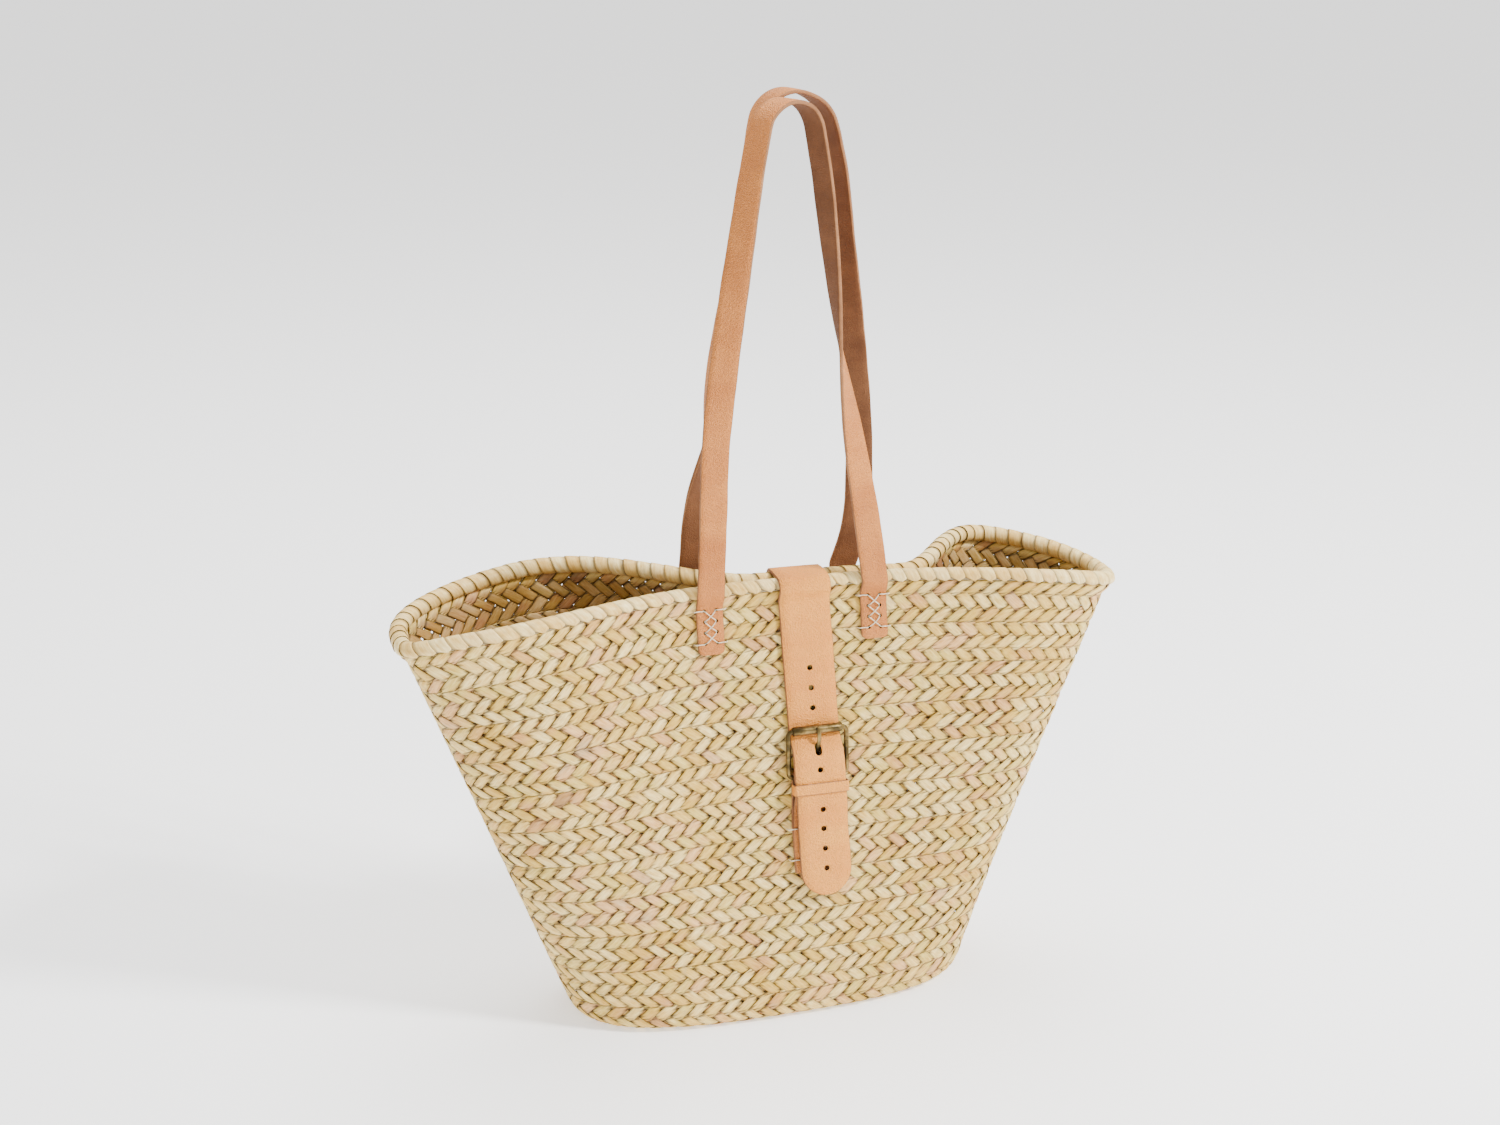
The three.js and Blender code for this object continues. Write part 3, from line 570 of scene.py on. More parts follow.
def punch_holes(piece, pins):
    """Cuts round or oblong holes. Each pin is (from, to, half width, half length, lengthwise)."""
    rings = []
    for start, end, radius, stretch, lengthwise in pins:
        axis = unit(end - start)
        side = unit(np.cross(lengthwise, axis))
        length = unit(np.cross(axis, side))
        angle = np.linspace(0, 2 * math.pi, 24, endpoint=False)[:, None]
        shape = side * np.cos(angle) * radius
        shape = shape + length * (np.sin(angle) * radius + np.sign(np.sin(angle)) * (stretch - radius))
        if np.dot(np.cross(side, length), axis) < 0:
            shape = shape[::-1]
        rings.append(np.stack([start + shape, end + shape]))
    cutter_mesh = ring_mesh("punch", np.stack(rings))
    cutter = bpy.data.objects.new("punch", cutter_mesh)
    bpy.context.scene.collection.objects.link(cutter)
    # The cut hole walls take the strap's fourth finish, a near-black painted shade.
    cutter_mesh.materials.append(piece.data.materials[3])
    cut = piece.modifiers.new("punch", "BOOLEAN")
    cut.operation, cut.object, cut.solver = "DIFFERENCE", cutter, "EXACT"
    cut.material_mode = "TRANSFER"
    evaluated = piece.evaluated_get(bpy.context.evaluated_depsgraph_get())
    mesh = bpy.data.meshes.new_from_object(evaluated)
    mesh.name = piece.data.name
    piece.modifiers.clear()
    piece.data = mesh
    bpy.data.objects.remove(cutter)


def tube_rings(path, radius, sides=10, closed=False):
    """Rings round a path, turning with it as little as they can."""
    tangent = unit(np.roll(path, -1, 0) - np.roll(path, 1, 0) if closed else np.gradient(path, axis=0))
    side = np.empty_like(path)
    start = UP if abs(tangent[0] @ UP) < 0.9 else np.array([1.0, 0, 0])
    for i, forward in enumerate(tangent):
        start = unit(start - forward * (start @ forward))
        side[i] = start
    other = np.cross(tangent, side)
    angle = np.linspace(0, 2 * math.pi, sides, endpoint=False)[None, :, None]
    radius = np.broadcast_to(np.asarray(radius, float), len(path))[:, None, None]
    return path[:, None] + radius * (side[:, None] * np.cos(angle) + other[:, None] * np.sin(angle))


# ---------------------------------------------------------------- stitches

THREAD_RADIUS = 0.47


def lacing_points(edges_at, pattern, offset):
    rows = []
    for j in range(pattern.rows):
        left, right = edges_at(pattern.first_row + j * pattern.row_pitch, offset)
        inset = (1 - pattern.spacing / np.linalg.norm(right - left)) / 2
        rows.append((lerp(left, right, inset), lerp(right, left, inset)))
    return rows


def lacing_holes(edges_at, pattern, depth_from, depth_to):
    low = lacing_points(edges_at, pattern, depth_from)
    high = lacing_points(edges_at, pattern, depth_to)
    along = unit(low[0][0] - low[-1][0])
    ends = [pair for lows, highs in zip(low, high) for pair in zip(lows, highs)]
    return [(start, end, pattern.hole, pattern.hole, along) for start, end in ends]


def stitches(name, edges_at, pattern, surface, thread, nodes, seed):
    """Crosses between the rows of holes, and a run past the edges along the first and last rows."""
    chance = np.random.default_rng(seed)
    low = lacing_points(edges_at, pattern, surface - 2.2)
    level = lacing_points(edges_at, pattern, surface + THREAD_RADIUS * 0.8)
    out = unit(level[0][0] - low[0][0])
    rings = []

    def run(start, start_deep, end, end_deep, lift):
        middle = lerp(start, end, 0.5) + out * lift
        near, far = lerp(start, end, 0.12) + out * 0.1, lerp(start, end, 0.88) + out * 0.1
        knots = np.array([start_deep, near, middle, far, end_deep])
        knots[2] += chance.uniform(-0.25, 0.25, 3) * [1, 0, 1]
        path = even_points(knots, 0.7)
        goals = np.linspace(0, 1, 24)
        share = np.linspace(0, 1, len(path))
        path = np.stack([np.interp(goals, share, path[:, j]) for j in range(3)], -1)
        rings.append(tube_rings(path, THREAD_RADIUS, 8))

    for j in range(1, pattern.rows):
        run(level[j - 1][0], low[j - 1][0], level[j][1], low[j][1], 0.15)
        run(level[j - 1][1], low[j - 1][1], level[j][0], low[j][0], 0.15 + 1.6 * THREAD_RADIUS)
    for j in (0, pattern.rows - 1):
        left, right = level[j]
        over = unit(right - left) * pattern.overrun
        run(left, low[j][0], left - over, low[j][0] - over - out * 2.6, 0)
        run(right, low[j][1], right + over, low[j][1] + over - out * 2.6, 0)
    strips = np.stack(rings)
    length = np.linspace(0, 1.2, strips.shape[1])[None, :, None]
    turn = np.linspace(0, 1, strips.shape[2], endpoint=False)[None, None, :]
    uv = np.stack(np.broadcast_arrays(turn, length + 0 * strips[..., 0]), -1)
    piece = new_object(name, ring_mesh(name, strips, uv=uv), "basket", [thread])
    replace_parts(piece, *nodes)


# ---------------------------------------------------------------- shoulder handles

REACH_OF_ROLL = RIM.radius - WALL.thickness / 2 + REST


def fold_line(side):
    """The line on the strap's outer face, level with the rim, that a handle folds about."""
    shape = HANDLES[side]
    sign = -1 if side == "front" else 1

    def leg_end(x, slope):
        edges = [on_face(side, x + edge * STRAP.width / 2, 0, REACH_OF_ROLL) for edge in (-1, 1)]
        far = max(sign * (point[1] - slope * (point[0] - x)) for point in edges)
        return np.array([x, sign * (far + STRAP.thickness + REST), (edges[0][2] + edges[1][2]) / 2])

    left, right = np.array([shape.left.leg, 0, 0]), np.array([shape.right.leg, 0, 0])
    for _ in range(3):
        slope = (right[1] - left[1]) / (right[0] - left[0])
        left, right = leg_end(shape.left.leg, slope), leg_end(shape.right.leg, slope)
    left[2] = right[2] = (left[2] + right[2]) / 2
    along = unit(right - left)
    out = sign * np.array([-along[1], along[0], 0])
    return Sizes(left=left, right=right, along=along, out=out, level=left[2])


def tab_knots(side, x, fold, sign):
    """The tab from its end up to the fold: outer face and the direction across it."""
    spots = [
        (TAB.length, REST),
        ((TAB.length + STEP_OUT.start) * 0.6, REST),
        (STEP_OUT.start + 6, REST),
        (STEP_OUT.start + 2, REST + 0.4),
        (STEP_OUT.start, REACH_OF_ROLL * STEP_OUT.start_share),
        (STEP_OUT.end, REACH_OF_ROLL * STEP_OUT.end_share),
    ]
    knots = []
    for below, offset in spots:
        across = face_across(side, x, below, offset, STRAP.width / 2)
        point = on_face(side, x, below, offset + STRAP.thickness)
        knots.append([*point, *(sign * across), STRAP.width])
    return knots


def loop_knots(side, fold):
    """A loop's legs rise, lean in over the mouth and turn on edge; its top is turned left side forward."""
    shape = HANDLES[side]
    middle = (fold.left + fold.right) / 2
    half_span = np.linalg.norm(fold.right - fold.left) / 2
    deep = np.cross(UP, fold.along)

    def place(share, reach):
        point = middle - fold.out * shape.lean * share**LEAN_POWER
        point = point + fold.along * reach * half_span
        point = point + deep * reach * half_span * math.sin(TOP_TURN) * ease(share)
        point[2] = fold.level + shape.rise * share
        return point

    knots = [place(share, -reach) for share, reach in [(0, 1), *shape.left.outline]]
    knots += [place(1, shape.apex)]
    knots += [place(share, reach) for share, reach in [(0, 1), *shape.right.outline][::-1]]
    path = even_points(knots, 3)
    tangent = unit(np.gradient(path, axis=0))
    reach = along_path(path)
    left_turn = ease((reach - shape.left.twist_start) / shape.left.twist_length)
    right_turn = ease((reach[-1] - reach - shape.right.twist_start) / shape.right.twist_length)
    turn = math.pi / 2 * np.where(reach < reach[-1] / 2, left_turn, right_turn)
    flat = unit(fold.out - tangent * (tangent @ fold.out)[:, None])
    edge_on = -deep * math.cos(TOP_TURN) + fold.along * math.sin(TOP_TURN)
    radial = unit(np.cross(edge_on, tangent))
    face = flat * np.cos(turn)[:, None] + radial * np.sin(turn)[:, None]
    across = unit(np.cross(tangent, face))
    return np.column_stack([path, across, np.full(len(path), STRAP.width)])


def rounded_width(reach, total, width, corner):
    """The strap's width near its ends, with rounded corners."""
    near = np.minimum(reach, total - reach)
    short = np.clip(corner - near, 0, corner)
    return width - 2 * (corner - np.sqrt(np.maximum(corner**2 - short**2, 0)))


def with_end_points(knots, corner):
    """Adds closer points at both ends, so that a rounded end stays smooth."""
    reach = along_path(knots[:, :3])
    near = corner * (1 - np.cos(np.linspace(0.12, math.pi / 2, 7)))
    inner = reach[(reach > corner) & (reach < reach[-1] - corner)]
    goals = np.unique(np.concatenate([near, inner, reach[-1] - near]))
    return np.stack([np.interp(goals, reach, knots[:, j]) for j in range(knots.shape[1])], -1)


def make_handle(side, leather, thread):
    fold = fold_line(side)
    shape = HANDLES[side]
    sign = 1 if side == "front" else -1
    left = tab_knots(side, shape.left.leg, fold, sign)
    right = tab_knots(side, shape.right.leg, fold, -sign)
    loop = loop_knots(side, fold)
    knots = np.vstack([left, loop[::4], loop[-1:], right[::-1]])
    path = with_end_points(even_points(knots, 2.5), TAB.corner)
    reach = along_path(path[:, :3])
    width = rounded_width(reach, reach[-1], STRAP.width, TAB.corner)
    mesh = strap_mesh(f"{side}_handle_strap", path[:, :3], path[:, 3:6], width, STRAP.thickness, seed=5)
    piece = new_object(mesh.name, mesh, None, leather)
    holes = []
    for name, x in (("left", shape.left.leg), ("right", shape.right.leg)):

        def edges_at(below, offset, x=x):
            return [on_face(side, x + edge * STRAP.width / 2, below, offset) for edge in (-1, 1)]

        holes += lacing_holes(edges_at, LACING, -0.5, STRAP.thickness + 2)
        surface = REST + STRAP.thickness
        node = f"{side}_{name}_stitching"
        stitches(f"{side}_{name}_lacing", edges_at, LACING, surface, thread, [node], len(holes))
    punch_holes(piece, holes)
    start, end = Vector(fold.left * MM), Vector(fold.left * MM)
    start.z, end.z = (fold.level - 1.5) * MM, (fold.level + 7) * MM
    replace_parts(piece, f"{side}_handle", f"{side}_left_tab", f"{side}_right_tab")
    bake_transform(piece)


# ---------------------------------------------------------------- closing strap and chape

HEEL_OFFSET = REST + CHAPE.thickness + GAP + BUCKLE.bar_radius
FOLD_RADIUS = BUCKLE.bar_radius + GAP + CHAPE.thickness
OVER_HEEL = HEEL_OFFSET + FOLD_RADIUS + GAP
CHAPE_FACE = REST + 2 * CHAPE.thickness + GAP
TAIL_OFFSET = CHAPE_FACE + 3 * GAP + 1


def closure_centre(below):
    return lerp(CLOSURE.top_centre, CLOSURE.tip_centre, np.clip(below / CLOSURE.tip_at, 0, 1))


def closure_spot(side, below, offset, half=CLOSURE.width / 2, lift=CLOSURE.thickness):
    """A knot of the closing strap: its outer face and its direction across."""
    x = closure_centre(below) if side == "front" else CLOSURE.top_centre
    return [*on_face(side, x, below, offset + lift), *-face_across(side, x, below, offset, half)]


def over_roll(side):
    radius = RIM.radius + 2 * REST
    middle = -WALL.thickness / 2
    slant = radius * math.sqrt(0.5)
    return [
        closure_spot(side, STEP_OUT.start + CLOSURE.thickness + 2, REST),
        closure_spot(side, STEP_OUT.start, (middle + radius) * STEP_OUT.start_share),
        closure_spot(side, STEP_OUT.end, (middle + radius) * STEP_OUT.end_share),
        closure_spot(side, 0, middle + radius),
        closure_spot(side, -slant, middle + slant),
        closure_spot(side, -radius - 0.3, middle - 1),
    ]


def make_closing_strap(leather, thread):
    bend_start = BUCKLE.roller_at + REST
    shares = np.linspace(0, 1, 7)
    bend = [
        closure_spot("front", bend_start + CLOSURE.bend_length * share, lerp(REST, OVER_HEEL, ease(share)))
        for share in shares
    ]
    knots = [
        closure_spot("back", CLOSURE.back_length, REST),
        closure_spot("back", CLOSURE.back_length / 2, REST),
        *over_roll("back"),
        *over_roll("front")[::-1],
        closure_spot("front", CLOSURE.first_hole / 2, REST),
        closure_spot("front", CLOSURE.first_hole, REST),
        closure_spot("front", BUCKLE.roller_at - 14, REST),
        closure_spot("front", BUCKLE.roller_at - CLOSURE.bend_margin, REST),
        *bend,
        closure_spot("front", BUCKLE.heel_at, OVER_HEEL),
        closure_spot("front", CLOSURE.fold_at, OVER_HEEL),
        closure_spot("front", CHAPE_LACING.first_row - CLOSURE.bend_margin, TAIL_OFFSET),
        closure_spot("front", CHAPE_LACING.first_row + 20, TAIL_OFFSET),
        closure_spot("front", CLOSURE.tip_at, TAIL_OFFSET),
    ]
    path = even_points(knots, 2)
    tip = CLOSURE.width / 2
    reach = along_path(path[:, :3])
    near = tip * (1 - np.cos(np.linspace(0.1, math.pi / 2, 16)))
    goals = np.concatenate([reach[reach < reach[-1] - tip - 1], (reach[-1] - near)[::-1]])
    path = np.stack([np.interp(goals, reach, path[:, j]) for j in range(6)], -1)
    left_over = np.clip(tip - (reach[-1] - goals), 0, tip)
    width = 2 * np.sqrt(np.maximum(tip**2 - left_over**2, 0.2))
    mesh = strap_mesh("closing_strap", path[:, :3], path[:, 3:6], width, CLOSURE.thickness, seed=9)
    piece = new_object("closing_strap", mesh, None, leather)
    pins = []
    for k in range(CLOSURE.holes):
        below = CLOSURE.first_hole + k * CLOSURE.hole_pitch
        x = closure_centre(below)
        ends = [on_face("front", x, below, offset) for offset in (0, OVER_HEEL + 2 * CLOSURE.thickness)]
        along = on_face("front", x, below - 5, 0) - on_face("front", x, below + 5, 0)
        slotted = k == CLOSURE.prong_hole
        width = CLOSURE.slot_width / 2 if slotted else CLOSURE.hole_radius
        length = CLOSURE.slot_length / 2 if slotted else CLOSURE.hole_radius
        pins.append((*ends, width, length, along))

    def edges_at(below, offset):
        sides = [CLOSURE.top_centre + edge * CLOSURE.width / 2 for edge in (-1, 1)]
        return [on_face("back", x, below, offset) for x in sides]

    pins += lacing_holes(edges_at, CLOSURE_LACING, -0.5, CLOSURE.thickness + 2)
    punch_holes(piece, pins)
    surface = REST + CLOSURE.thickness
    stitches("closing_strap_lacing", edges_at, CLOSURE_LACING, surface, thread, ["closure_stitching"], 3)
    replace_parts(piece, "closure_strap", "closure_tail")
    start = Vector(on_face("front", closure_centre(168), 168, OVER_HEEL) * MM)
    end = Vector(on_face("front", closure_centre(177), 177, OVER_HEEL) * MM)
    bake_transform(piece)


def make_chape(leather, thread):
    half = CHAPE.width / 2

    def centre(below):
        drift = ease((below - CHAPE.fold_end) / (CHAPE_LACING.first_row - CHAPE.fold_end))
        return closure_centre(below) - lerp(CHAPE.shift, CHAPE.end_shift, drift)

    def spot(below, offset):
        x = centre(below)
        return [*on_face("front", x, below, offset), *-face_across("front", x, below, offset, half)]

    arc = [
        spot(BUCKLE.heel_at - FOLD_RADIUS * math.sin(angle), HEEL_OFFSET - FOLD_RADIUS * math.cos(angle))
        for angle in np.linspace(0, math.pi, 9)
    ]
    knots = [
        spot(CHAPE.end, REST),
        spot((CHAPE.end + BUCKLE.heel_at) / 2, REST),
        *arc,
        spot(CHAPE.fold_end, HEEL_OFFSET + FOLD_RADIUS),
        spot(CHAPE.meet_at, CHAPE_FACE),
        spot((CHAPE.meet_at + CHAPE.end) / 2, CHAPE_FACE),
        spot(CHAPE.end, CHAPE_FACE),
    ]
    path = even_points(knots, 1.2)
    mesh = strap_mesh("buckle_chape_leather", path[:, :3], path[:, 3:6], CHAPE.width, CHAPE.thickness, seed=3)
    piece = new_object(mesh.name, mesh, "basket", leather)

    def edges_at(below, offset):
        return [on_face("front", centre(below) + edge * half, below, offset) for edge in (-1, 1)]

    middle = BUCKLE.heel_at - 1
    x = closure_centre(middle)
    along = on_face("front", x, middle - 5, 0) - on_face("front", x, middle + 5, 0)
    ends = [on_face("front", x, middle, offset) for offset in (0.1, OVER_HEEL + 2)]
    pins = [(*ends, CHAPE.slot_width / 2, FOLD_RADIUS + 1, along)]
    pins += lacing_holes(edges_at, CHAPE_LACING, -0.5, CHAPE_FACE + 2)
    punch_holes(piece, pins)
    stitches("buckle_chape_lacing", edges_at, CHAPE_LACING, CHAPE_FACE, thread, ["chape_stitching"], 4)
    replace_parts(piece, "buckle_chape")


# ---------------------------------------------------------------- buckle and keeper


def joint_named(name):
    return next(joint for joint in frame["joints"] if joint["name"] == name)


def buckle_axes():
    """The buckle's heel, its directions across, up and out, and the length up to the roller."""
    heel = np.array(joint_named("prong_tilt")["pos_m"]) / MM
    roller = np.array(joint_named("roller_spin")["pos_m"]) / MM
    across = unit(np.array(joint_named("prong_tilt")["axis"], float))
    length = np.linalg.norm(roller - heel)
    out = unit(np.cross(across, roller - heel))
    return heel, np.stack([across, np.cross(out, across), out]), length


def make_buckle(brass):
    heel, axes, length = buckle_axes()
    place = lambda points: heel + np.asarray(points, float) @ axes
    half, corner = BUCKLE.width / 2 - BUCKLE.bar_radius, BUCKLE.corner_radius
    wire = []
    corners = [(half - corner, length - corner), (corner - half, length - corner)]
    corners += [(corner - half, corner), (half - corner, corner)]
    for quarter, (x, y) in enumerate(corners):
        for turn in np.linspace(0, 1, 9):
            heading = (quarter + turn) * math.pi / 2
            wire.append([x + corner * math.cos(heading), y + corner * math.sin(heading), 0])
        far = corners[(quarter + 1) % 4]
        heading = (quarter + 1) * math.pi / 2
        edge = np.array([math.cos(heading), math.sin(heading), 0]) * corner
        for share in np.linspace(0.1, 0.9, 7):
            wire.append([*lerp(np.array([x, y]), np.array(far), share), 0] + edge)
    rings = tube_rings(place(wire), BUCKLE.bar_radius, 16, closed=True)
    mesh = ring_mesh("buckle_wire", rings[None], closed=True)
    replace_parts(new_object("buckle_wire", mesh, "basket", [brass]), "buckle_frame")

    straight = BUCKLE.width / 2 - corner - BUCKLE.bar_radius - GAP / 2
    inner, outer = BUCKLE.roller_radius - BUCKLE.roller_wall, BUCKLE.roller_radius
    soft = 0.4
    profile = [(x, outer) for x in (-straight + soft, -straight / 2, 0, straight / 2, straight - soft)]
    profile += [(straight, outer - soft), (straight, inner), (0, inner)]
    profile += [(-straight, inner), (-straight, outer - soft)]
    turned = np.array(profile[::-1])[None]
    angle = np.linspace(0, 2 * math.pi, 40, endpoint=False)[:, None]
    along_bar = np.broadcast_to(turned[..., 0], (len(angle), len(profile)))
    radius = turned[..., 1]
    roller = np.stack([along_bar, length + radius * np.cos(angle), radius * np.sin(angle)], -1)
    mesh = ring_mesh("roller_tube", place(roller)[None], closed=True)
    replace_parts(new_object("roller_tube", mesh, "buckle_roller", [brass]), "buckle_roller")

    eye_inner = BUCKLE.bar_radius + GAP
    over = BUCKLE.roller_radius + GAP + PRONG.thickness / 2
    line = [
        (0, eye_inner + GAP + 0.4, 0),
        (0, (eye_inner + length - PRONG.rise_from) / 2, 0.1),
        (0, length - PRONG.rise_from, GAP),
        (0, length - PRONG.rise_middle, over / 2),
        (0, length - PRONG.rise_to, over),
        (0, length, over),
        (0, length + PRONG.over_reach, over - PRONG.thickness / 2),
    ]
    path = even_points(place(line), 0.8)
    tangent = unit(np.gradient(path, axis=0))
    out = unit(np.cross(axes[0], tangent))
    angle = np.linspace(0, 2 * math.pi, 12, endpoint=False)[None, :]
    slim = np.linspace(1, 0.85, len(path))[:, None]
    slim[-1] *= 0.6
    wide = np.sign(np.cos(angle)) * np.abs(np.cos(angle)) ** 0.6 * PRONG.width / 2 * slim
    deep = np.sign(np.sin(angle)) * np.abs(np.sin(angle)) ** 0.6 * PRONG.thickness / 2 * np.maximum(slim, 0.8)
    rings = path[:, None] + axes[0] * wide[..., None] + out[:, None] * deep[..., None]
    mesh = ring_mesh("prong_shank", rings[None, :, ::-1])
    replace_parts(new_object("prong_shank", mesh, "buckle_prong", [brass]), "buckle_prong")
    middle = eye_inner + PRONG.eye_wall / 2
    circle = np.linspace(0, 2 * math.pi, 32, endpoint=False)
    eye = []
    for a in circle:
        section = []
        for b in np.linspace(0, 2 * math.pi, 12, endpoint=False):
            across = PRONG.width / 2 * np.sign(math.cos(b)) * abs(math.cos(b)) ** 0.5
            section.append((across, middle + PRONG.eye_wall / 2 * math.sin(b)))
        eye.append([(x, r * math.cos(a), r * math.sin(a)) for x, r in section])
    mesh = ring_mesh("prong_eye", place(np.array(eye))[None], closed=True)
    new_object("prong_eye", mesh, "buckle_prong", [brass])


def make_keeper(leather):
    top = BUCKLE.heel_at + KEEPER.below
    middle = top + KEEPER.height / 2
    x = closure_centre(middle)
    origin = on_face("front", x, middle, HEEL_OFFSET)
    across = face_across("front", x, middle, HEEL_OFFSET, CLOSURE.width / 2)
    up = unit(on_face("front", closure_centre(top), top, HEEL_OFFSET) - origin)
    out = unit(np.cross(across, up))
    up = np.cross(out, across)
    half = CLOSURE.width / 2 + KEEPER.play + KEEPER.thickness
    low, high = -KEEPER.thickness / 2, OVER_HEEL + CLOSURE.thickness + REST - HEEL_OFFSET + KEEPER.thickness
    bend = 2.2
    path = []
    for quarter, (cx, cz) in enumerate([(half, high), (-half, high), (-half, low), (half, low)]):
        for turn in np.linspace(0, 1, 6):
            heading = (quarter + turn) * math.pi / 2
            x_in, z_in = cx - math.copysign(bend, cx), cz - bend if cz == high else cz + bend
            path.append((x_in + bend * math.cos(heading), z_in + bend * math.sin(heading)))
        far = [(half, high), (-half, high), (-half, low), (half, low)][(quarter + 1) % 4]
        if quarter in (0, 2):
            ends = np.array([path[-1], (far[0] - math.copysign(bend, far[0]), path[-1][1])])
            path += [tuple(lerp(ends[0], ends[1], share)) for share in np.linspace(0.1, 0.9, 8)]
    points = np.array([origin + across * px + out * pz for px, pz in path])
    upright = np.broadcast_to(up, points.shape)
    mesh = strap_mesh("keeper_band", points, upright, KEEPER.height, KEEPER.thickness, closed=True)
    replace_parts(new_object("keeper_band", mesh, "keeper_loop", leather), "keeper_loop")


# ---------------------------------------------------------------- finishes


class Nodes:
    """A node tree that is written one node at a time."""

    def __init__(self, tree):
        self.tree = tree

    def add(self, kind, settings=None, **inputs):
        node = self.tree.nodes.new(kind)
        for key, value in (settings or {}).items():
            setattr(node, key, value)
        for key, value in inputs.items():
            self.set(node, key.replace("_", " "), value)
        return node

    def set(self, node, key, value):
        socket = node.inputs[int(key[1:])] if key.startswith("#") else node.inputs[key]
        if isinstance(value, bpy.types.NodeSocket):
            self.tree.links.new(value, socket)
        else:
            socket.default_value = value

    def maths(self, operation, a, b=0.0, clamp=False):
        node = self.add("ShaderNodeMath", {"operation": operation, "use_clamp": clamp})
        self.set(node, "#0", a)
        self.set(node, "#1", b)
        return node.outputs[0]

    def scaled(self, vector, scale):
        node = self.add("ShaderNodeVectorMath", {"operation": "MULTIPLY"})
        self.set(node, "#0", vector)
        self.set(node, "#1", scale)
        return node.outputs[0]

    def noise(self, vector, scale, detail=3.0, roughness=0.5):
        node = self.add("ShaderNodeTexNoise", Vector=vector, Scale=scale, Detail=detail, Roughness=roughness)
        return node.outputs["Fac"]

    def ramp(self, value, stops):
        node = self.add("ShaderNodeValToRGB", Fac=value)
        ramp = node.color_ramp
        for place, color in stops[2:]:
            ramp.elements.new(place)
        for element, (place, color) in zip(ramp.elements, stops):
            element.position = place
            element.color = color if len(color) == 4 else (*color, 1)
        return node.outputs["Color"]

    def mix(self, share, a, b, blend="MIX"):
        node = self.add("ShaderNodeMix", {"data_type": "RGBA", "blend_type": blend})
        self.set(node, "#0", share)
        self.set(node, "#6", a)
        self.set(node, "#7", b)
        return node.outputs[2]

    def spread(self, value, low, high, to_low=0.0, to_high=1.0):
        node = self.add("ShaderNodeMapRange", Value=value)
        for key, limit in zip(("#1", "#2", "#3", "#4"), (low, high, to_low, to_high)):
            self.set(node, key, limit)
        return node.outputs[0]

    def use(self, group, **inputs):
        node = self.add("ShaderNodeGroup", {"node_tree": group}, **inputs)
        return node.outputs

    def attribute(self, name):
        return self.add("ShaderNodeAttribute", {"attribute_name": name}).outputs["Fac"]


def effect(name, inputs, outputs):
    """An empty shader node group with named inputs and outputs."""
    tree = bpy.data.node_groups.new(name, "ShaderNodeTree")
    for label, kind, value in inputs:
        socket = tree.interface.new_socket(label, in_out="INPUT", socket_type=kind)
        socket.default_value = value
    for label, kind in outputs:
        tree.interface.new_socket(label, in_out="OUTPUT", socket_type=kind)
    nodes = Nodes(tree)
    return nodes, nodes.add("NodeGroupInput").outputs, nodes.add("NodeGroupOutput")


def finish_material(name, settings):
    """A material with one Principled shader. Settings are its plain values."""
    material = bpy.data.materials.new(name)
    material.use_nodes = True
    nodes = Nodes(material.node_tree)
    shader = material.node_tree.nodes["Principled BSDF"]
    for key, value in settings.items():
        shader.inputs[key].default_value = value
    return material, nodes, shader


def fibre_effect():
    """Fine lines along a leaf or a thread of leather: a shade and a height."""
    floats = "NodeSocketFloat"
    outputs = [("Shade", floats), ("Height", floats)]
    nodes, given, made = effect("leaf_fibres", [("Fineness", floats, 9.0)], outputs)
    place = nodes.add("ShaderNodeUVMap", {"uv_map": "lengthwise"}).outputs["UV"]
    lines = nodes.noise(nodes.scaled(place, (1, 0.09, 1)), given["Fineness"], 4, 0.65)
    streaks = nodes.noise(nodes.scaled(place, (0.35, 0.16, 1)), given["Fineness"], 2, 0.5)
    both = nodes.maths("ADD", nodes.maths("MULTIPLY", lines, 0.6), nodes.maths("MULTIPLY", streaks, 0.4))
    nodes.set(made, "Shade", nodes.spread(both, 0.36, 0.64))
    nodes.set(made, "Height", lines)
    return made.id_data


def mottle_effect():
    """Slow patches over the whole object."""
    floats = "NodeSocketFloat"
    outputs = [("Patch", floats), ("Fine", floats)]
    nodes, given, made = effect("slow_patches", [("Scale", floats, 6.0)], outputs)
    place = nodes.add("ShaderNodeTexCoord").outputs["Object"]
    slow = nodes.noise(nodes.scaled(place, (1, 1, 1.7)), given["Scale"], 3, 0.55)
    fine = nodes.noise(place, nodes.maths("MULTIPLY", given["Scale"], 9), 4, 0.6)
    nodes.set(made, "Patch", nodes.spread(slow, 0.3, 0.7))
    nodes.set(made, "Fine", nodes.spread(fine, 0.3, 0.7))
    return made.id_data


def grain_effect():
    """The pores and creases of leather: a height and a shade."""
    floats = "NodeSocketFloat"
    outputs = [("Height", floats), ("Shade", floats)]
    nodes, given, made = effect("leather_pores", [("Scale", floats, 900.0)], outputs)
    place = nodes.add("ShaderNodeTexCoord").outputs["Object"]
    pores = nodes.add("ShaderNodeTexVoronoi", {"feature": "F1"}, Vector=place, Scale=given["Scale"])
    cells = nodes.maths("MULTIPLY", pores.outputs["Distance"], 0.55)
    coarse = nodes.maths("MULTIPLY", given["Scale"], 0.55)
    wrinkles = nodes.noise(nodes.scaled(place, (1, 1, 1.6)), coarse, 4, 0.6)
    height = nodes.maths("ADD", cells, nodes.maths("MULTIPLY", wrinkles, 0.6))
    nodes.set(made, "Height", height)
    nodes.set(made, "Shade", nodes.spread(height, 0.3, 0.75))
    return made.id_data


def bump(nodes, shader, height, distance, strength=1.0):
    node = nodes.add("ShaderNodeBump", Height=height, Distance=distance, Strength=strength)
    nodes.set(shader, "Normal", node.outputs["Normal"])


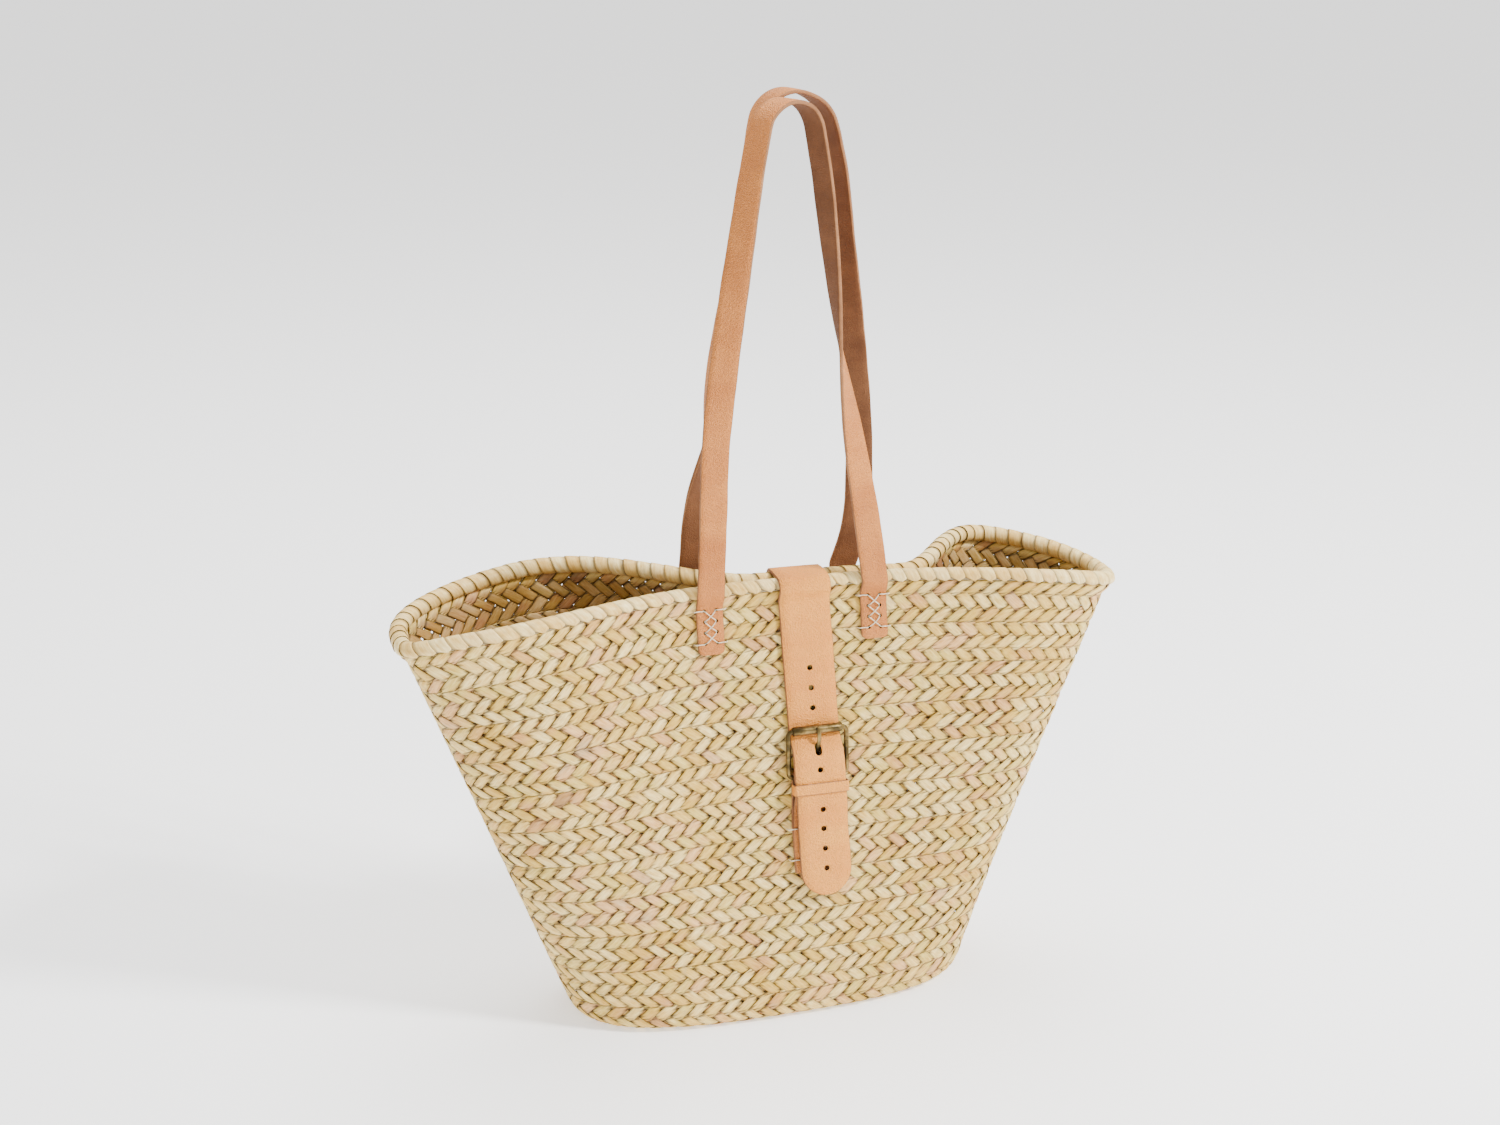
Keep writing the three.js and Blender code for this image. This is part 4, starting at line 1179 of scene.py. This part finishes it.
STRAW = [
    (0.0, (0.36, 0.22, 0.09)),
    (0.13, (0.74, 0.42, 0.17)),
    (0.27, (0.74, 0.50, 0.10)),
    (0.42, (0.90, 0.64, 0.20)),
    (0.56, (1.0, 0.79, 0.34)),
    (0.7, (0.78, 0.60, 0.16)),
    (0.84, (0.90, 0.55, 0.24)),
    (1.0, (0.56, 0.43, 0.26)),
]
PALE = [
    (0.0, (0.80, 0.53, 0.15)),
    (0.35, (0.92, 0.68, 0.26)),
    (0.7, (1.0, 0.82, 0.40)),
    (1.0, (0.90, 0.62, 0.26)),
]


def leaf_material(name, fibres, patches, stops, inside_tone_and_shade, roughness, patch_share):
    material, nodes, shader = finish_material(name, {"IOR": 1.4, "Specular IOR Level": 0.35})
    fibre = nodes.use(fibres, Fineness=9.0)
    patch = nodes.use(patches, Scale=13.0)
    tint = nodes.attribute("leaf_tint")
    own_tint = nodes.maths("MULTIPLY", tint, 1 - patch_share)
    mixed = nodes.maths("ADD", own_tint, nodes.maths("MULTIPLY", patch["Patch"], patch_share))
    leaf = nodes.ramp(mixed, stops)
    lined = nodes.mix(nodes.spread(fibre["Shade"], 0, 1, 0.0, 0.9), leaf, (0.66, 0.5, 0.26, 1), "MULTIPLY")
    specks = nodes.mix(nodes.spread(patch["Fine"], 0.72, 1, 0, 0.35), lined, (0.45, 0.33, 0.18, 1))
    # Deep points are darkened: partly the inner face's own darker tone, partly painted shade on leaves
    # passing under others.
    shaded = nodes.mix(1.0, specks, inside_tone_and_shade, "MULTIPLY")
    inner = nodes.mix(nodes.spread(nodes.attribute("inside"), 0.42, 0.75), specks, shaded)
    # Painted shade: the colour is darkened nearly to black where leaves dive under others, along leaf edges
    # and along wrap edges.
    sheltered = nodes.mix(1.0, inner, (0.06, 0.04, 0.02, 1), "MULTIPLY")
    inner = nodes.mix(nodes.spread(nodes.attribute("shelter"), 0.3, 1.05), inner, sheltered)
    nodes.set(shader, "Base Color", inner)
    nodes.set(shader, "Roughness", nodes.spread(fibre["Shade"], 0, 1, roughness - 0.08, roughness + 0.1))
    bump(nodes, shader, fibre["Height"], 0.00025, 0.6)
    return material


def leather_material(name, grain, patches, light, dark, roughness, pore_scale, depth, spec=0.4):
    material, nodes, shader = finish_material(name, {"Specular IOR Level": spec})
    pores = nodes.use(grain, Scale=pore_scale)
    patch = nodes.use(patches, Scale=22.0)
    color = nodes.mix(patch["Patch"], (*dark, 1), (*light, 1))
    color = nodes.mix(nodes.spread(pores["Shade"], 0, 1, 0.5, 0), color, (*[c * 0.6 for c in dark], 1))
    color = nodes.mix(nodes.spread(patch["Fine"], 0.6, 1, 0, 0.25), color, (*dark, 1))
    nodes.set(shader, "Base Color", color)
    nodes.set(shader, "Roughness", nodes.spread(pores["Shade"], 0, 1, roughness - 0.08, roughness + 0.08))
    bump(nodes, shader, pores["Height"], depth, 0.7)
    return material


def brass_material(patches):
    material, nodes, shader = finish_material("antique_brass", {"IOR": 1.45})
    patch = nodes.use(patches, Scale=60.0)
    wear = nodes.spread(patch["Patch"], 0.35, 0.8)
    color = nodes.mix(wear, (0.07, 0.047, 0.016, 1), (0.27, 0.18, 0.06, 1))
    color = nodes.mix(nodes.spread(patch["Fine"], 0.55, 0.95, 0, 0.6), color, (0.07, 0.055, 0.035, 1))
    nodes.set(shader, "Base Color", color)
    nodes.set(shader, "Metallic", nodes.spread(patch["Fine"], 0.5, 1, 0.95, 0.7))
    nodes.set(shader, "Roughness", nodes.spread(patch["Fine"], 0, 1, 0.28, 0.5))
    bump(nodes, shader, patch["Fine"], 0.0002, 0.4)
    return material


def thread_material(patches):
    material, nodes, shader = finish_material("waxed_thread", {"Roughness": 0.7})
    place = nodes.add("ShaderNodeUVMap", {"uv_map": "lengthwise"}).outputs["UV"]
    diagonal = {"bands_direction": "DIAGONAL"}
    twist = nodes.add("ShaderNodeTexWave", diagonal, Vector=place, Scale=2.2, Distortion=0.4)
    patch = nodes.use(patches, Scale=90.0)
    color = nodes.mix(twist.outputs["Fac"], (0.85, 0.66, 0.4, 1), (1.0, 0.86, 0.62, 1))
    color = nodes.mix(nodes.spread(patch["Patch"], 0, 1, 0, 0.3), color, (0.7, 0.6, 0.47, 1))
    nodes.set(shader, "Base Color", color)
    bump(nodes, shader, twist.outputs["Fac"], 0.0004, 0.8)
    return material


def core_material(patches):
    material, nodes, shader = finish_material("bundled_leaf", {"Roughness": 0.8})
    patch = nodes.use(patches, Scale=40.0)
    nodes.set(shader, "Base Color", nodes.mix(patch["Patch"], (0.3, 0.22, 0.11, 1), (0.5, 0.4, 0.22, 1)))
    bump(nodes, shader, patch["Fine"], 0.001)
    return material


# ---------------------------------------------------------------- studio


def make_studio():
    floor_mesh = bpy.data.meshes.new("floor")
    signs = [(-1, -1), (1, -1), (1, 1), (-1, 1)]
    corners = [(x * FLOOR.reach, y * FLOOR.reach, FLOOR.level) for x, y in signs]
    floor_mesh.from_pydata(corners, [], [(0, 1, 2, 3)])
    floor = bpy.data.objects.new("floor", floor_mesh)
    bpy.context.scene.collection.objects.link(floor)
    material, nodes, shader = finish_material("pale_floor", {"Roughness": 0.9, "Specular IOR Level": 0.1})
    shader.inputs["Base Color"].default_value = (0.95, 0.95, 0.95, 1)
    shader.inputs["Emission Color"].default_value = (1, 1, 1, 1)
    shader.inputs["Emission Strength"].default_value = 0.8
    floor_mesh.materials.append(material)
    world = bpy.data.worlds.new("studio")
    world.use_nodes = True
    world.node_tree.nodes["Background"].inputs["Color"].default_value = (1, 0.99, 0.975, 1)
    world.node_tree.nodes["Background"].inputs["Strength"].default_value = 0.95
    bpy.context.scene.world = world
    lights = [
        ("key", (1.7, -1.3, 2.1), 0.4, 135),
        ("fill", (-1.9, -1.5, 1.0), 1.8, 6),
        ("top", (0.1, 0.9, 2.8), 1.8, 80),
    ]
    for name, place, size, power in lights:
        data = bpy.data.lights.new(name, "AREA")
        data.size, data.energy = size, power
        lamp = bpy.data.objects.new(name, data)
        lamp.location = place
        lamp.rotation_mode = "QUATERNION"
        lamp.rotation_quaternion = (Vector((0, 0, 0.25)) - Vector(place)).to_track_quat("-Z", "Y")
        bpy.context.scene.collection.objects.link(lamp)


def make_camera():
    azimuth, elevation = math.radians(CAMERA.azimuth), math.radians(CAMERA.elevation)
    flat = math.cos(elevation)
    back = Vector((math.sin(azimuth) * flat, -math.cos(azimuth) * flat, math.sin(elevation)))
    data = bpy.data.cameras.new("camera")
    data.sensor_width = CAMERA.sensor
    data.lens = CAMERA.lens
    camera = bpy.data.objects.new("camera", data)
    camera.location = Vector(CAMERA.aim) + back * CAMERA.distance
    camera.rotation_mode = "QUATERNION"
    camera.rotation_quaternion = (-back).to_track_quat("-Z", "Y")
    bpy.context.scene.collection.objects.link(camera)
    bpy.context.scene.camera = camera


make_studio()
make_camera()

fibres, patches, grain = fibre_effect(), mottle_effect(), grain_effect()
wall_leaf = leaf_material("palm_leaf", fibres, patches, STRAW, (0.55, 0.48, 0.5, 1), 0.55, 0.4)
rim_leaf = leaf_material("pale_palm_leaf", fibres, patches, PALE, (0.8, 0.7, 0.5, 1), 0.45, 0.2)


def leather(name, light, dark, roughness, pore_scale, depth, spec=0.4):
    return leather_material(name, grain, patches, light, dark, roughness, pore_scale, depth, spec)


tan_grain = leather("tan_leather", (0.66, 0.235, 0.042), (0.50, 0.155, 0.024), 0.55, 900, 0.002)
tan_flesh = leather("tan_leather_back", (0.22, 0.09, 0.036), (0.13, 0.05, 0.02), 0.85, 1300, 0.0012, 0.2)
pale_grain = leather("pale_leather", (0.88, 0.355, 0.045), (0.76, 0.26, 0.03), 0.5, 800, 0.002)
# Painted shade: the walls of punched holes are near-black, standing in for the shade inside them.
hole_wall_painted_shade = leather("hole_wall_painted_shade", (0.05, 0.024, 0.012), (0.02, 0.01, 0.006), 0.9, 1600, 0.0004, 0.1)
cut_edge = leather("cut_leather_edge", (0.42, 0.20, 0.09), (0.22, 0.09, 0.035), 0.75, 1600, 0.0004, 0.2)
thread = thread_material(patches)
brass = brass_material(patches)

make_plaited_body(wall_leaf)
make_rim_wraps(rim_leaf)
make_rim_bundle(core_material(patches))
for handle_side in ("front", "back"):
    make_handle(handle_side, [tan_grain, tan_flesh, cut_edge, hole_wall_painted_shade], thread)
make_closing_strap([pale_grain, tan_flesh, cut_edge, hole_wall_painted_shade], thread)
make_chape([tan_grain, tan_flesh, cut_edge, hole_wall_painted_shade], thread)
make_buckle(brass)
make_keeper([pale_grain, tan_flesh, cut_edge])
